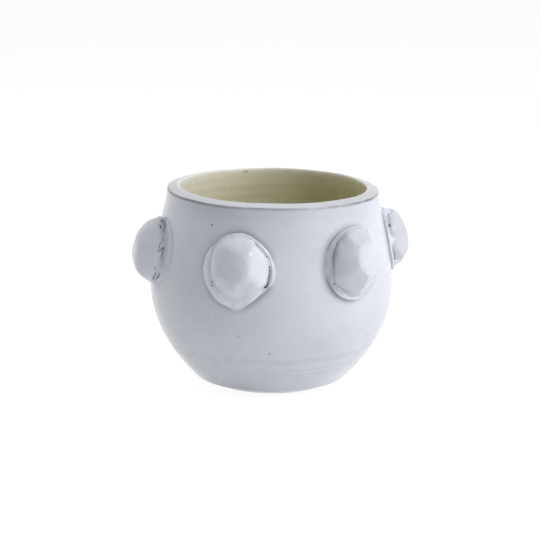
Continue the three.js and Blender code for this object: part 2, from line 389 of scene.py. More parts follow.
class Board:
    """Lays out the nodes of one material."""

    def __init__(self, name: str) -> None:
        """Start an empty material.

        Args:
            name: the material's name.
        """
        self.material = bpy.data.materials.new(name)
        self.material.use_nodes = True
        self.nodes = self.material.node_tree.nodes
        self.links = self.material.node_tree.links
        self.nodes.clear()

    def node(
        self, kind: str, fed: dict[str | int, Socket | float] | None = None, **settings: object
    ) -> bpy.types.Node:
        """Add a node.

        Args:
            kind: its type.
            fed: what its inputs get, by their names or numbers.
            settings: its properties.

        Returns:
            The node.
        """
        made = self.nodes.new(kind)
        for key, value in settings.items():
            setattr(made, key, value)
        for key, source in (fed or {}).items():
            self.feed(made.inputs[key], source)
        return made

    def feed(self, target: Socket, source: Socket | float | tuple) -> None:
        """Link a socket, or set its value.

        Args:
            target: the socket that is fed.
            source: another socket, a number or a colour.
        """
        if isinstance(source, bpy.types.NodeSocket):
            self.links.new(source, target)
        elif isinstance(source, tuple) and len(source) == 3 and target.type == "RGBA":
            target.default_value = (*source, 1.0)
        else:
            target.default_value = source

    def math(self, operation: str, *inputs: Socket | float, clamp: bool = False) -> Socket:
        """A math node.

        Args:
            operation: its operation.
            inputs: its inputs in order.
            clamp: whether the result is kept between 0 and 1.

        Returns:
            Its result.
        """
        fed = dict(enumerate(inputs))
        return self.node("ShaderNodeMath", fed, operation=operation, use_clamp=clamp).outputs[0]

    def vector(self, operation: str, *inputs: Socket | tuple) -> bpy.types.Node:
        """A vector math node."""
        return self.node("ShaderNodeVectorMath", dict(enumerate(inputs)), operation=operation)

    def places(self) -> Socket:
        """The place of each point in the piece's own space."""
        return self.node("ShaderNodeTexCoord").outputs["Object"]

    def attribute(self, name: str) -> Socket:
        """A number that the mesh holds for each vertex."""
        return self.node("ShaderNodeAttribute", attribute_name=name).outputs["Fac"]

    def noise(self, places: Socket, size: float, detail: float = 2.0, rough: float = 0.5) -> Socket:
        """Soft noise.

        Args:
            places: where it is read.
            size: how wide one blot is, in metres.
            detail: how many finer octaves it has.
            rough: how strong these are.

        Returns:
            Values around 0.5.
        """
        fed = {"Vector": places, "Scale": 1.0 / size, "Detail": detail, "Roughness": rough}
        return self.node("ShaderNodeTexNoise", fed).outputs["Fac"]

    def sway(
        self, places: Socket, size: float, reach: float, detail: float = 3.0, rough: float = 0.5
    ) -> Socket:
        """Soft noise round 0, with blots of some size; reach is its whole range."""
        centred = self.math("SUBTRACT", self.noise(places, size, detail, rough), 0.5)
        return self.math("MULTIPLY", centred, reach)

    def warp(self, places: Socket, size: float, reach: float) -> Socket:
        """Shift the places by noise, so that edges run ragged.

        Args:
            places: the places to shift.
            size: how wide one wave of the shift is.
            reach: how far a place moves at most.

        Returns:
            The shifted places.
        """
        fed = {"Vector": places, "Scale": 1.0 / size, "Detail": 2.0}
        made = self.node("ShaderNodeTexNoise", fed)
        centred = self.vector("SUBTRACT", made.outputs["Color"], (0.5, 0.5, 0.5)).outputs[0]
        scaled = self.vector("SCALE", centred)
        scaled.inputs["Scale"].default_value = 2 * reach
        return self.vector("ADD", places, scaled.outputs[0]).outputs[0]

    def spread(
        self, value: Socket, low: float, high: float, start: float = 0.0, end: float = 1.0
    ) -> Socket:
        """Ease a value from one level to another.

        Args:
            value: what is read.
            low: the reading at which the easing starts.
            high: the reading at which it ends.
            start: the level before it.
            end: the level after it.

        Returns:
            The eased level.
        """
        fed = {"Value": value, "From Min": low, "From Max": high, "To Min": start, "To Max": end}
        made = self.node("ShaderNodeMapRange", fed, interpolation_type="SMOOTHSTEP")
        return made.outputs["Result"]

    def mix(self, share: Socket | float, first: Socket | Colour, second: Socket | Colour) -> Socket:
        """Mix two colours."""
        fed = {0: share, 6: first, 7: second}
        return self.node("ShaderNodeMix", fed, data_type="RGBA").outputs[2]

    def bump(
        self, height: Socket, distance: float, strength: float, before: Socket | None = None
    ) -> Socket:
        """Turn a height into a normal.

        Args:
            height: the height, from 0 to 1.
            distance: what a height of 1 stands for, in metres.
            strength: how much of it shows.
            before: the normal of an earlier bump.

        Returns:
            The normal.
        """
        fed = {"Distance": distance, "Strength": strength, "Height": height}
        if before is not None:
            fed["Normal"] = before
        return self.node("ShaderNodeBump", fed).outputs[0]

    def finish(self, surface: Socket) -> Finish:
        """Connect the surface to the output."""
        out = self.node("ShaderNodeOutputMaterial")
        self.links.new(surface, out.inputs["Surface"])
        return self.material


# ---- flaws in the glaze


SPECK_WARP_SIZE = 2.2 * MM
SPECK_WARP = 0.45 * MM
SPECK_CORE = 0.45  # the part of a speck's radius that is fully dark


@dataclass(frozen=True)
class Pinhole:
    """A burst bubble or iron speck: a small dark pit in the glaze."""

    place: tuple[float, float, float]
    radius: float
    darkness: float = 1.0


def speck_mark(board: Board, specks: tuple[Pinhole, ...], places: Socket) -> Socket:
    """The strongest mark of all the specks, with ragged edges.

    Args:
        board: the material's board.
        specks: the pinholes and specks.
        places: the places of the piece.

    Returns:
        The mark from 0 to 1.
    """
    ragged = board.warp(places, SPECK_WARP_SIZE, SPECK_WARP)
    total: Socket | float = 0.0
    for speck in specks:
        distance = board.vector("DISTANCE", ragged, speck.place).outputs["Value"]
        one = board.spread(distance, SPECK_CORE * speck.radius, speck.radius, speck.darkness, 0.0)
        total = board.math("MAXIMUM", total, one)
    return total


# ---- finishes


@dataclass(frozen=True)
class DarkClay:
    """The fired clay body, bare where no glaze holds."""

    deep: Colour = (0.060, 0.050, 0.042)
    worn: Colour = (0.150, 0.122, 0.098)
    roughness: float = 0.82
    grain_size: float = 1.6 * MM
    grit_size: float = 0.9 * MM
    grit_height: float = 0.35 * MM
    grit_strength: float = 0.8

    def colour(self, board: Board, places: Socket) -> Socket:
        """The clay's grain."""
        grain = board.spread(board.noise(places, self.grain_size, 4.0, 0.6), 0.35, 0.7)
        return board.mix(grain, self.deep, self.worn)

    def material(self) -> Finish:
        """The bare clay of the foot.

        Returns:
            A dull, gritty material.
        """
        board = Board("bare_dark_clay")
        places = board.places()
        grit = board.noise(places, self.grit_size, 5.0, 0.65)
        fed = {
            "Base Color": self.colour(board, places),
            "Roughness": self.roughness,
            "Normal": board.bump(grit, self.grit_height, self.grit_strength),
        }
        return board.finish(board.node("ShaderNodeBsdfPrincipled", fed).outputs[0])


@dataclass(frozen=True)
class TinGlaze:
    """The cool white tin glaze of the outside: glossy, a little uneven, thin where it breaks, with
    painted shade and thin glaze along its joints.
    """

    thick: Colour = (0.738, 0.772, 0.834)
    thin: Colour = (0.672, 0.708, 0.764)
    # painted highlight: a lighter white mixed on to the crests of the coils
    crest_highlight: Colour = (0.845, 0.875, 0.930)
    # the grey of painted shade in creases and below the rim, and of thin glaze and painted shade
    # along the joints
    shade_and_thin_glaze: Colour = (0.36, 0.36, 0.42)
    clay: DarkClay = DarkClay()
    roughness: float = 0.22
    dull_roughness: float = 0.32
    specular: float = 0.33
    coat: float = 0.26
    coat_roughness: float = 0.07
    drift_size: float = 46 * MM
    mottle_size: float = 7 * MM
    mottle_share: float = 0.14
    dull_patch: float = 21 * MM
    wave_size: float = 11 * MM
    wave_height: float = 0.38 * MM
    wave_strength: float = 0.28
    peel_size: float = 1.7 * MM
    peel_height: float = 0.03 * MM
    peel_strength: float = 0.12
    pit_depth: float = 0.5 * MM
    pit_strength: float = 0.6
    crack_grain: float = 1.5 * MM
    crack_ragged: float = 0.9

    def shaded(self, share: float) -> TinGlaze:
        """The same glaze a little lighter or darker: a copy that carries painted light and shade
        for one boss.
        """
        dip = [tuple(share * part for part in colour) for colour in (self.thick, self.thin)]
        return replace(self, thick=dip[0], thin=dip[1])

    def colour(self, board: Board, places: Socket) -> Socket:
        """White that drifts towards grey where the glaze ran thin.

        Args:
            board: the material's board.
            places: the places of the piece.

        Returns:
            The colour.
        """
        drift = board.noise(places, self.drift_size, 2.0, 0.5)
        mottle = board.noise(places, self.mottle_size, 3.0, 0.6)
        slow = board.math("MULTIPLY", drift, 1 - self.mottle_share)
        share = board.math("ADD", slow, board.math("MULTIPLY", mottle, self.mottle_share))
        return board.mix(board.spread(share, 0.20, 0.78), self.thin, self.thick)

    def gloss(self, board: Board, places: Socket) -> Socket:
        """The roughness, dull in a few patches."""
        patches = board.noise(places, self.dull_patch, 3.0, 0.6)
        return board.spread(patches, 0.40, 0.72, self.roughness, self.dull_roughness)

    def skin(self, board: Board, places: Socket) -> Socket:
        """The slight waves and orange peel of a poured glaze."""
        slow = board.noise(places, self.wave_size, 1.0)
        waves = board.bump(slow, self.wave_height, self.wave_strength)
        peel = board.noise(places, self.peel_size, 2.0)
        return board.bump(peel, self.peel_height, self.peel_strength, waves)

    def surface(
        self, board: Board, colour: Socket, gloss: Socket, normal: Socket, mark: Socket
    ) -> Finish:
        """Put the layers of the glaze together.

        Args:
            board: the material's board.
            colour: the colour without flaws.
            gloss: the roughness without flaws.
            normal: the normal without flaws.
            mark: where the clay shows, from 0 to 1.

        Returns:
            The material.
        """
        dull = board.math("MULTIPLY", board.math("SUBTRACT", self.clay.roughness, gloss), mark)
        pit = board.math("SUBTRACT", 1.0, mark)
        fed = {
            "Base Color": board.mix(mark, colour, self.clay.colour(board, board.places())),
            "Roughness": board.math("ADD", gloss, dull),
            "Normal": board.bump(pit, self.pit_depth, self.pit_strength, normal),
            "Specular IOR Level": self.specular,
            "Coat Weight": self.coat,
            "Coat Roughness": self.coat_roughness,
        }
        return board.finish(board.node("ShaderNodeBsdfPrincipled", fed).outputs[0])

    def clay_mark(self, board: Board, places: Socket) -> Socket:
        """Where a crack of the mesh shows the clay, with ragged edges.

        Args:
            board: the material's board.
            places: the places of the piece.

        Returns:
            The mark from 0 to 1.
        """
        shown = board.attribute("clay")
        ragged = board.sway(places, self.crack_grain, self.crack_ragged, rough=0.6)
        return board.spread(board.math("ADD", shown, ragged), 0.42, 0.72)

    def material(self, name: str) -> Finish:
        """The glaze on a boss or a luting coil.

        Args:
            name: the material's name.

        Returns:
            The material, which reads the mesh's own clay marks.
        """
        board = Board(name)
        places = board.places()
        mark = self.clay_mark(board, places)
        gloss = self.gloss(board, places)
        # painted highlight along the coil's crest
        colour = board.mix(board.attribute("crest_highlight_share"), self.colour(board, places), self.crest_highlight)
        # thin glaze and painted shade along the joint
        colour = board.mix(board.attribute("thin_glaze_and_shade"), colour, self.shade_and_thin_glaze)
        return self.surface(board, colour, gloss, self.skin(board, places), mark)


@dataclass(frozen=True)
class VesselGlaze(TinGlaze):
    """The vessel's glaze: white outside and over the lip, olive cream inside."""

    cream: Colour = (0.840, 0.815, 0.625)
    # the deeper olive is painted shade on the shaded side of the inside
    shaded_olive_cream: Colour = (0.495, 0.475, 0.265)
    veil_and_lit_cream: Colour = (0.86, 0.85, 0.80)
    # the grey of the painted shade on the bevel of the lip
    bevel: Colour = (0.60, 0.605, 0.61)
    # painted highlight along the rounded inner edge of the mouth
    crown: Colour = (0.90, 0.915, 0.935)
    worn_edge: Colour = (0.205, 0.180, 0.205)
    change_over: float = 1.3 * MM
    line_at: float = 0.95 * MM  # the middle of the broken edge, just below the arris
    line_half: float = 1.70 * MM
    bevel_inner: tuple[float, float] = (-9.6 * MM, -8.4 * MM)
    bevel_outer: tuple[float, float] = (-1.5 * MM, 0.2 * MM)
    rim_shade: float = 0.19  # how much painted shade darkens the glaze just below the arris
    rim_shade_from: float = 2 * MM
    rim_shade_to: float = 25 * MM
    foot_wipe: float = 1.6 * MM

    def inside_share(self, board: Board, places: Socket) -> Socket:
        """Where the olive glaze covers the white one."""
        sway = board.sway(places, 13 * MM, 2 * MM)
        reading = board.math("ADD", board.attribute("past_change"), sway)
        return board.spread(reading, -self.change_over, self.change_over)

    def broken_edge(self, board: Board, run: Socket, places: Socket) -> Socket:
        """The dark line along the arris, where the glaze drew back from the edge.

        Args:
            board: the material's board.
            run: the distance from the arris along the profile.
            places: the places of the piece.

        Returns:
            The mark from 0 to 1.
        """
        swayed = board.math("ADD", run, board.sway(places, 9 * MM, 1.3 * MM, 4.0, 0.65))
        off = board.math("ABSOLUTE", board.math("SUBTRACT", swayed, self.line_at))
        line = board.spread(off, 0.1 * self.line_half, 1.35 * self.line_half, 1.0, 0.0)
        kept = board.spread(board.noise(places, 12 * MM, 3.0, 0.7), 0.30, 0.60, 0.55, 1.0)
        worn = board.math("MULTIPLY", kept, board.attribute("edge_wear"))
        return board.math("MULTIPLY", line, worn)

    def foot_edge(self, board: Board, places: Socket) -> Socket:
        """The clay that shows where the glaze was wiped off the bottom edge."""
        height = board.node("ShaderNodeSeparateXYZ", {"Vector": places})
        ragged = board.math("MULTIPLY", board.noise(places, 5 * MM, 3.0), self.foot_wipe)
        reading = board.math("SUBTRACT", height.outputs["Z"], ragged)
        return board.spread(reading, -0.6 * MM, 0.4 * MM, 0.8, 0.0)

    def outside_colour(self, board: Board, run: Socket, places: Socket) -> Socket:
        """The white glaze, with painted shade on the bevel, below the rim and in creases, and a
        painted highlight on the crown.

        Args:
            board: the material's board.
            run: the distance from the arris along the profile.
            places: the places of the piece.

        Returns:
            The colour.
        """
        # painted shade on the bevel, set by azimuth
        inner = board.spread(run, *self.bevel_inner)
        bevel = board.math("MULTIPLY", inner, board.spread(run, *self.bevel_outer, 1.0, 0.0))
        bevel = board.math("MULTIPLY", bevel, board.attribute("bevel_shade"))
        colour = board.mix(bevel, self.colour(board, places), self.bevel)
        # painted highlight on the crown of the mouth
        colour = board.mix(board.attribute("crown"), colour, self.crown)
        # painted shade just below the arris
        fall = board.spread(run, self.rim_shade_from, self.rim_shade_to, self.rim_shade, 0.0)
        below = board.math("MULTIPLY", board.spread(run, 0.0, 1.5 * MM), fall)
        colour = board.mix(below, colour, self.shade_and_thin_glaze)
        # painted shade in the creases round the coils and in the throwing-ring grooves
        return board.mix(board.attribute("crease"), colour, self.shade_and_thin_glaze)

    def vessel_material(self, specks: tuple[Pinhole, ...]) -> Finish:
        """The glaze on the thrown vessel.

        Args:
            specks: the pinholes and specks of the vessel.

        Returns:
            The material, which reads the distance from the arris off the mesh.
        """
        board = Board("vessel_glaze")
        places = board.places()
        run = board.attribute("from_arris")
        outside = self.outside_colour(board, run, places)
        # the olive mix is painted shade on the shaded right inner wall; the pale mix is the lip's
        # white veil and painted light on the lit left inner wall
        olive = board.attribute("olive")
        olive = board.math("ADD", olive, board.sway(places, 30 * MM, 0.35, 2.0), clamp=True)
        cream = board.mix(olive, self.cream, self.shaded_olive_cream)
        cream = board.mix(board.attribute("pale"), cream, self.veil_and_lit_cream)
        colour = board.mix(self.inside_share(board, places), outside, cream)
        colour = board.mix(self.broken_edge(board, run, places), colour, self.worn_edge)
        mark = self.foot_edge(board, places)
        mark = board.math("MAXIMUM", mark, speck_mark(board, specks, places))
        gloss = self.gloss(board, places)
        return self.surface(board, colour, gloss, self.skin(board, places), mark)


# ---- thrown vessel


@dataclass
class ThrownVessel:
    """The wheel-thrown pot without its bosses."""

    wall: ThrownWall
    glaze: VesselGlaze
    thickness: float = 10 * MM
    floor: float = 11 * MM
    floor_bend: float = 20 * MM
    lip_width: float = 12 * MM
    lip_round: float = 2.0 * MM
    lip_blend: float = 34 * MM
    arris_round: float = 0.7 * MM
    recess_radius: float = 50 * MM
    recess_depth: float = 3 * MM
    recess_slope: float = 2.5 * MM
    drain_radius: float = 9 * MM
    drain_ease: float = 1.5 * MM
    hole_seam: float = 4 * MM  # where the profile closes on itself, up the drain hole
    segments: int = 256
    specks: tuple[Pinhole, ...] = ()
    change_at: float = 12.1 * MM  # distance from the arris at which the inner glaze starts
    change_sway: float = 1.1 * MM
    crown_highlight_at: float = 11.6 * MM
    crown_highlight_half: float = 1.3 * MM
    finger_swell: float = 0.22 * MM
    finger_pitch: float = 11 * MM
    rim_waves: tuple[Wave, ...] = (Wave(0.30 * MM, 3, 0.4), Wave(0.14 * MM, 8, 1.9))
    bruise_depth: float = 0.55 * MM
    bruise_reach: float = 1.3 * MM
    veil_reach: float = 4 * MM  # how far the white glaze of the lip veils the inside
    lit_wall_azimuth: float = -105.0  # where the painted light on the inner wall is strongest
    lit_wall_half: float = 48.0
    lit_wall_reach: float = 60 * MM
    edge_wear: Table = (
        (-180, 0.2), (-105, 0.5), (-88, 1.0), (-46, 0.95), (-38, 0.72), (-24, 0.60), (-15, 0.45),
        (-8, 0.55), (0, 0.60), (12, 0.5), (19, 0.25), (26, 0.5), (45, 0.75), (60, 1.0), (88, 1.0),
        (105, 0.5), (180, 0.2),
    )  # how worn the arris is, by azimuth in degrees
    olive: Table = (
        (-180, 0.16), (-150, 0.02), (-60, 0.0), (0, 0.5), (60, 0.95), (125, 0.95), (155, 0.62),
        (180, 0.16),
    )  # how much painted shade, deeper and more olive, lies on the inside, by azimuth in degrees
    bevel_shade: Table = (
        (-180, 0.1), (-100, 0.35), (-70, 0.35), (-30, 0.05), (0, 0.0), (25, 0.35), (50, 0.80),
        (74, 0.80), (90, 0.25), (110, 0.0), (180, 0.1),
    )  # how much painted shade lies on the bevel of the lip, by azimuth in degrees

    def inside(self, curve: Cubic, t: Array) -> Array:
        """The inner face, one wall inwards of the outer one and thicker at the lip.

        Args:
            curve: a curve of the outside.
            t: parameters along it.

        Returns:
            Rows (radius, height).
        """
        points = curve.at(t)
        rim = self.wall.height - self.wall.lip_fall
        near = np.clip((points[:, 1] - rim + self.lip_blend) / self.lip_blend, 0, 1)
        depth = self.thickness + (self.lip_width - self.thickness) * eased(near)
        return points - curve.outward(t) * depth[:, None]

    @property
    def round_from(self) -> float:
        """The parameter of the upper curve at which the rounded arris starts."""
        return 1.0 - self.arris_round / (60 * MM)

    def underside(self) -> Array:
        """The profile from the drain hole to the foot bevel.

        Returns:
            Rows (radius, height).
        """
        wall = self.wall
        slope = self.recess_radius + self.recess_slope
        resting = (wall.resting_radius, 0.0)
        bevel = (wall.foot_radius, wall.bevel_height)
        seam = (self.drain_radius, self.recess_depth + self.hole_seam)
        hole = (self.drain_radius, self.recess_depth)
        recess = (self.recess_radius, self.recess_depth)
        corners = (seam, hole, recess, (slope, 0.0), resting, bevel)
        spacings = (2 * MM, 6 * MM, 1.3 * MM, 2 * MM, 1.2 * MM)
        return np.vstack([straight(*side) for side in zip(corners, corners[1:], spacings)])

    def lip(self) -> Array:
        """The profile over the lip: rounded arris, bevel, crest and rounded mouth.

        Returns:
            Rows (radius, height).
        """
        wall = self.wall
        arris = np.array((wall.rim_radius, wall.height - wall.lip_fall))
        crest = np.array((wall.rim_radius - self.lip_width + self.lip_round, wall.height))
        fall = (crest - arris) / np.linalg.norm(crest - arris)
        below = wall.upper.at(np.array([self.round_from]))[0]
        edge = bend(below, arris, arris + fall * self.arris_round, 5)
        top = crest - fall * self.lip_round * 0.6
        bevel = straight(tuple(edge[-1]), tuple(top), 0.8 * MM)[1:]
        mouth = np.array((wall.rim_radius - self.lip_width, wall.height - 1.25 * self.lip_round))
        corner = np.array((mouth[0], wall.height + 0.12 * self.lip_round))
        crown = bend(top, corner, mouth, 9)
        return np.vstack((edge, bevel, crown))

    def hollow(self) -> Array:
        """The profile of the inside, from below the lip to the drain hole.

        Returns:
            Rows (radius, height).
        """
        wall = self.wall
        upper = self.inside(wall.upper, wall.upper.steps(3 * MM)[::-1])
        top = self.recess_depth + self.floor + self.floor_bend
        t = np.linspace(0.0, 1.0, FINE_STEPS)
        start_t = float(np.interp(top, self.inside(wall.lower, t)[:, 1], t))
        lower_t = wall.lower.steps(3 * MM)[::-1]
        lower = self.inside(wall.lower, lower_t[lower_t > start_t + 0.01][1:])
        start = self.inside(wall.lower, np.array([start_t]))[0]
        out = wall.lower.outward(np.array([start_t]))[0]
        along = np.array((-out[1], out[0]))
        corner = start - along * (self.floor_bend / along[1])
        end = corner - np.array((self.floor_bend, 0.0))
        floor_top = float(corner[1])
        turn = bend(start, corner, end, 12)
        ease = (self.drain_radius + self.drain_ease, floor_top)
        flat = straight(tuple(end), ease, 6 * MM)[1:]
        corner = np.array((self.drain_radius, floor_top))
        edge = bend(np.array(ease), corner, corner - np.array((0.0, self.drain_ease)), 4)
        hole = np.array([(self.drain_radius, self.recess_depth + self.hole_seam)])
        return np.vstack((upper, lower, turn, flat, edge, hole))

    @cached_property
    def profile(self) -> Array:
        """The whole closed profile in (radius, height), its last point on its first."""
        wall = self.wall
        lower = wall.lower.at(wall.lower.steps(1.1 * MM))
        steps = wall.upper.steps(1.3 * MM)
        upper = wall.upper.at(steps[steps < self.round_from])[1:]
        return np.vstack((self.underside(), lower, upper, self.lip(), self.hollow()))

    @cached_property
    def from_arris(self) -> Array:
        """The distance of each profile point from the arris: outside above 0, lip below 0."""
        steps = np.linalg.norm(np.diff(self.profile, axis=0), axis=1)
        run = np.concatenate(([0.0], np.cumsum(steps)))
        arris = np.array((self.wall.rim_radius, self.wall.height - self.wall.lip_fall))
        nearest = int(np.argmin(np.linalg.norm(self.profile - arris, axis=1)))
        return np.clip(run[nearest] - run, -120 * MM, 40 * MM)

    def throw(self) -> Piece:
        """Draw the profile by extruding a vertex along it, and spin it round the axis.

        Returns:
            The closed body of revolution.
        """
        Bench.clear()
        radius, height = self.profile[0]
        bpy.ops.mesh.primitive_plane_add(size=MM, location=(radius, 0.0, height))
        body = bpy.context.object
        body.name = "glazed_vessel"
        Bench.open_mesh(body)
        bpy.ops.mesh.merge(type="CENTER")
        for step in np.diff(self.profile, axis=0):
            move = {"value": (float(step[0]), 0.0, float(step[1]))}
            bpy.ops.mesh.extrude_region_move(TRANSFORM_OT_translate=move)
        bpy.ops.mesh.select_all(action="SELECT")
        bpy.ops.mesh.spin(steps=self.segments, angle=math.tau, center=(0, 0, 0), axis=(0, 0, 1))
        Bench.close_mesh(body)
        return body

    def nearest_profile(self, places: Array) -> Array:
        """Find the profile point that each vertex was spun from.

        Args:
            places: rows (x, y, z).

        Returns:
            The index of the point for each row.
        """
        rings = np.column_stack((reach_of(places), places[:, 2]))
        found = np.empty(len(rings), dtype=int)
        for first in range(0, len(rings), 4000):
            block = rings[first : first + 4000, None, :] - self.profile[None, :, :]
            found[first : first + 4000] = np.argmin((block**2).sum(axis=2), axis=1)
        return found

    def mark_glaze(self, body: Piece, azimuth: Array, run: Array) -> None:
        """Store on the mesh what its glaze reads.

        Args:
            body: the spun body.
            azimuth: the azimuth of each vertex in radians.
            run: its distance from the arris.
        """
        degrees = np.degrees(azimuth)
        marks = {
            "from_arris": run,
            "edge_wear": np.interp(degrees, *zip(*self.edge_wear)),
            "pale": self.lip_veil_and_painted_light(azimuth, run),
            "olive": np.interp(degrees, *zip(*self.olive)),
            "bevel_shade": np.interp(degrees, *zip(*self.bevel_shade)),
            "past_change": -run - (self.change_at + self.change_sway * np.cos(azimuth)),
            # where the painted highlight lies along the crown
            "crown": bell(run + self.crown_highlight_at, self.crown_highlight_half),
        }
        for name, values in marks.items():
            Bench.mark(body, name, values)

    def work(self, body: Piece) -> None:
        """Leave the potter's hand in the wall: wobble, throwing marks, bruises and lean.

        Args:
            body: the spun body.
        """
        places = Bench.read(body)
        run = self.from_arris[self.nearest_profile(places)]
        azimuth = azimuth_of(places)
        self.mark_glaze(body, azimuth, run)
        radius = reach_of(places)
        height = places[:, 2]
        wall = self.wall
        held = np.clip((radius - self.drain_radius) / (40 * MM), 0, 1)
        outside = np.clip(run / (3 * MM), 0, 1)
        inside = np.clip((-run - self.lip_width) / (8 * MM), 0, 1)
        inside *= np.clip((height - self.floor - self.recess_depth) / (20 * MM), 0, 1)
        rings = np.sin(math.tau * height / self.finger_pitch + azimuth)
        push = wall.wobble(azimuth, height) * held + wall.throwing_marks(azimuth, height) * outside
        push += self.finger_swell * inside * rings - self.bruises(places, run)
        scale = 1 + push / radius
        places[:, 0] *= scale
        places[:, 1] *= scale
        high = np.clip((height - 0.8 * wall.height) / (0.2 * wall.height), 0, 1)
        places[:, 2] += high * sum(wave.at(azimuth, height) for wave in self.rim_waves)
        Bench.write(body, wall.settle(places))

    def lip_veil_and_painted_light(self, azimuth: Array, run: Array) -> Array:
        """Where the white glaze of the lip veils the inside just below it, and where painted light
        falls on the inner wall that faces the light through the mouth.

        Args:
            azimuth: azimuths in radians.
            run: distances from the arris.

        Returns:
            Shares from 0 to 1.
        """
        depth = np.clip(-run - 1.15 * self.lip_width, 0, None)
        off = apart(azimuth, self.lit_wall_azimuth)
        veil = (0.55 + 0.30 * np.cos(off)) * np.exp(-depth / self.veil_reach)
        # painted light on the inner wall that faces the light through the mouth
        fade = -((off / math.radians(self.lit_wall_half)) ** 2) - depth / self.lit_wall_reach
        return np.clip(np.maximum(veil, 0.66 * np.exp(fade)), 0, 1)

    def bruises(self, places: Array, run: Array) -> Array:
        """How far small bruises set back the arris.

        Args:
            places: rows (x, y, z).
            run: the distance of each from the arris.

        Returns:
            Inward distances.
        """
        near = bell(run, self.bruise_reach)
        back = np.zeros(len(places))
        for i in np.nonzero(near > 0.05)[0]:
            place = Vector(places[i])
            rough = noise.noise(place * 160) + 0.5 * noise.noise(place * 420)
            back[i] = near[i] * self.bruise_depth * max(0.0, rough)
        return back

    def build(self) -> Piece:
        """Throw, work and dress the vessel.

        Returns:
            The finished piece.
        """
        body = self.throw()
        self.work(body)
        self.dress(body)
        return body

    def dress(self, body: Piece) -> None:
        """Glaze the vessel and leave its foot bare.

        Args:
            body: the worked body.
        """
        Bench.take(body)
        bpy.ops.object.shade_smooth()
        body.data.materials.append(self.glaze.vessel_material(self.specks))
        body.data.materials.append(self.glaze.clay.material())
        low = 0.6 * self.wall.bevel_height
        drain = self.drain_radius + 0.5 * MM
        for face in body.data.polygons:
            x, y, z = face.center
            reach = math.hypot(x, y)
            underneath = z < self.recess_depth + 1 * MM and reach < self.wall.resting_radius
            if underneath or (reach < drain and z < self.recess_depth + self.floor - low):
                face.material_index = 1


# ---- hand-worked clay


@dataclass(frozen=True)
class Lumps:
    """The slow unevenness of hand-worked clay: a seeded sum of waves through space."""

    size: float
    seed: int
    waves: int = 14

    def at(self, places: Array) -> Array:
        """Read the unevenness.

        Args:
            places: rows (x, y, z).

        Returns:
            A value for each place, mostly between -1 and 1.
        """
        dice = np.random.default_rng(self.seed)
        ways = unit(dice.normal(size=(self.waves, 3)))
        ways *= math.tau / self.size * dice.uniform(0.6, 1.5, (self.waves, 1))
        starts = dice.uniform(0.0, math.tau, self.waves)
        return np.sin(places @ ways.T + starts).sum(axis=1) / math.sqrt(self.waves)


@dataclass(frozen=True)
class Outline:
    """A closed line round a seat, by marks in degrees and millimetres from its middle."""

    marks: Table
    softness: float = 4.0  # degrees over which a corner is rounded
    count: int = 720

    @cached_property
    def table(self) -> Array:
        """The line, straight from mark to mark with softened corners.

        Returns:
            The radius at even angles.
        """
        marks = sorted((math.radians(degrees % 360), reach * MM) for degrees, reach in self.marks)
        corners = np.array([(far * math.cos(angle), far * math.sin(angle)) for angle, far in marks])
        t = np.linspace(0.0, 1.0, 40, endpoint=False)[:, None, None]
        walk = ((1 - t) * corners + t * np.roll(corners, -1, axis=0)).reshape(-1, 2)
        turn = np.arctan2(walk[:, 1], walk[:, 0]) % math.tau
        order = np.argsort(turn)
        even = np.arange(self.count) * math.tau / self.count
        reach = np.interp(even, turn[order], np.hypot(*walk[order].T), period=math.tau)
        waves = np.fft.rfft(reach)
        fade = np.exp(-0.5 * (np.arange(len(waves)) * math.radians(self.softness)) ** 2)
        return np.fft.irfft(waves * fade, self.count)

    def radius(self, angle: Array) -> Array:
        """The line's distance from the middle at some angles in radians."""
        even = np.arange(self.count) * math.tau / self.count
        return np.interp(angle % math.tau, even, self.table, period=math.tau)


SEARCH_FROM = -60 * MM  # depths between which the wall's face is looked for
SEARCH_TO = 30 * MM
SEARCH_HALVINGS = 26


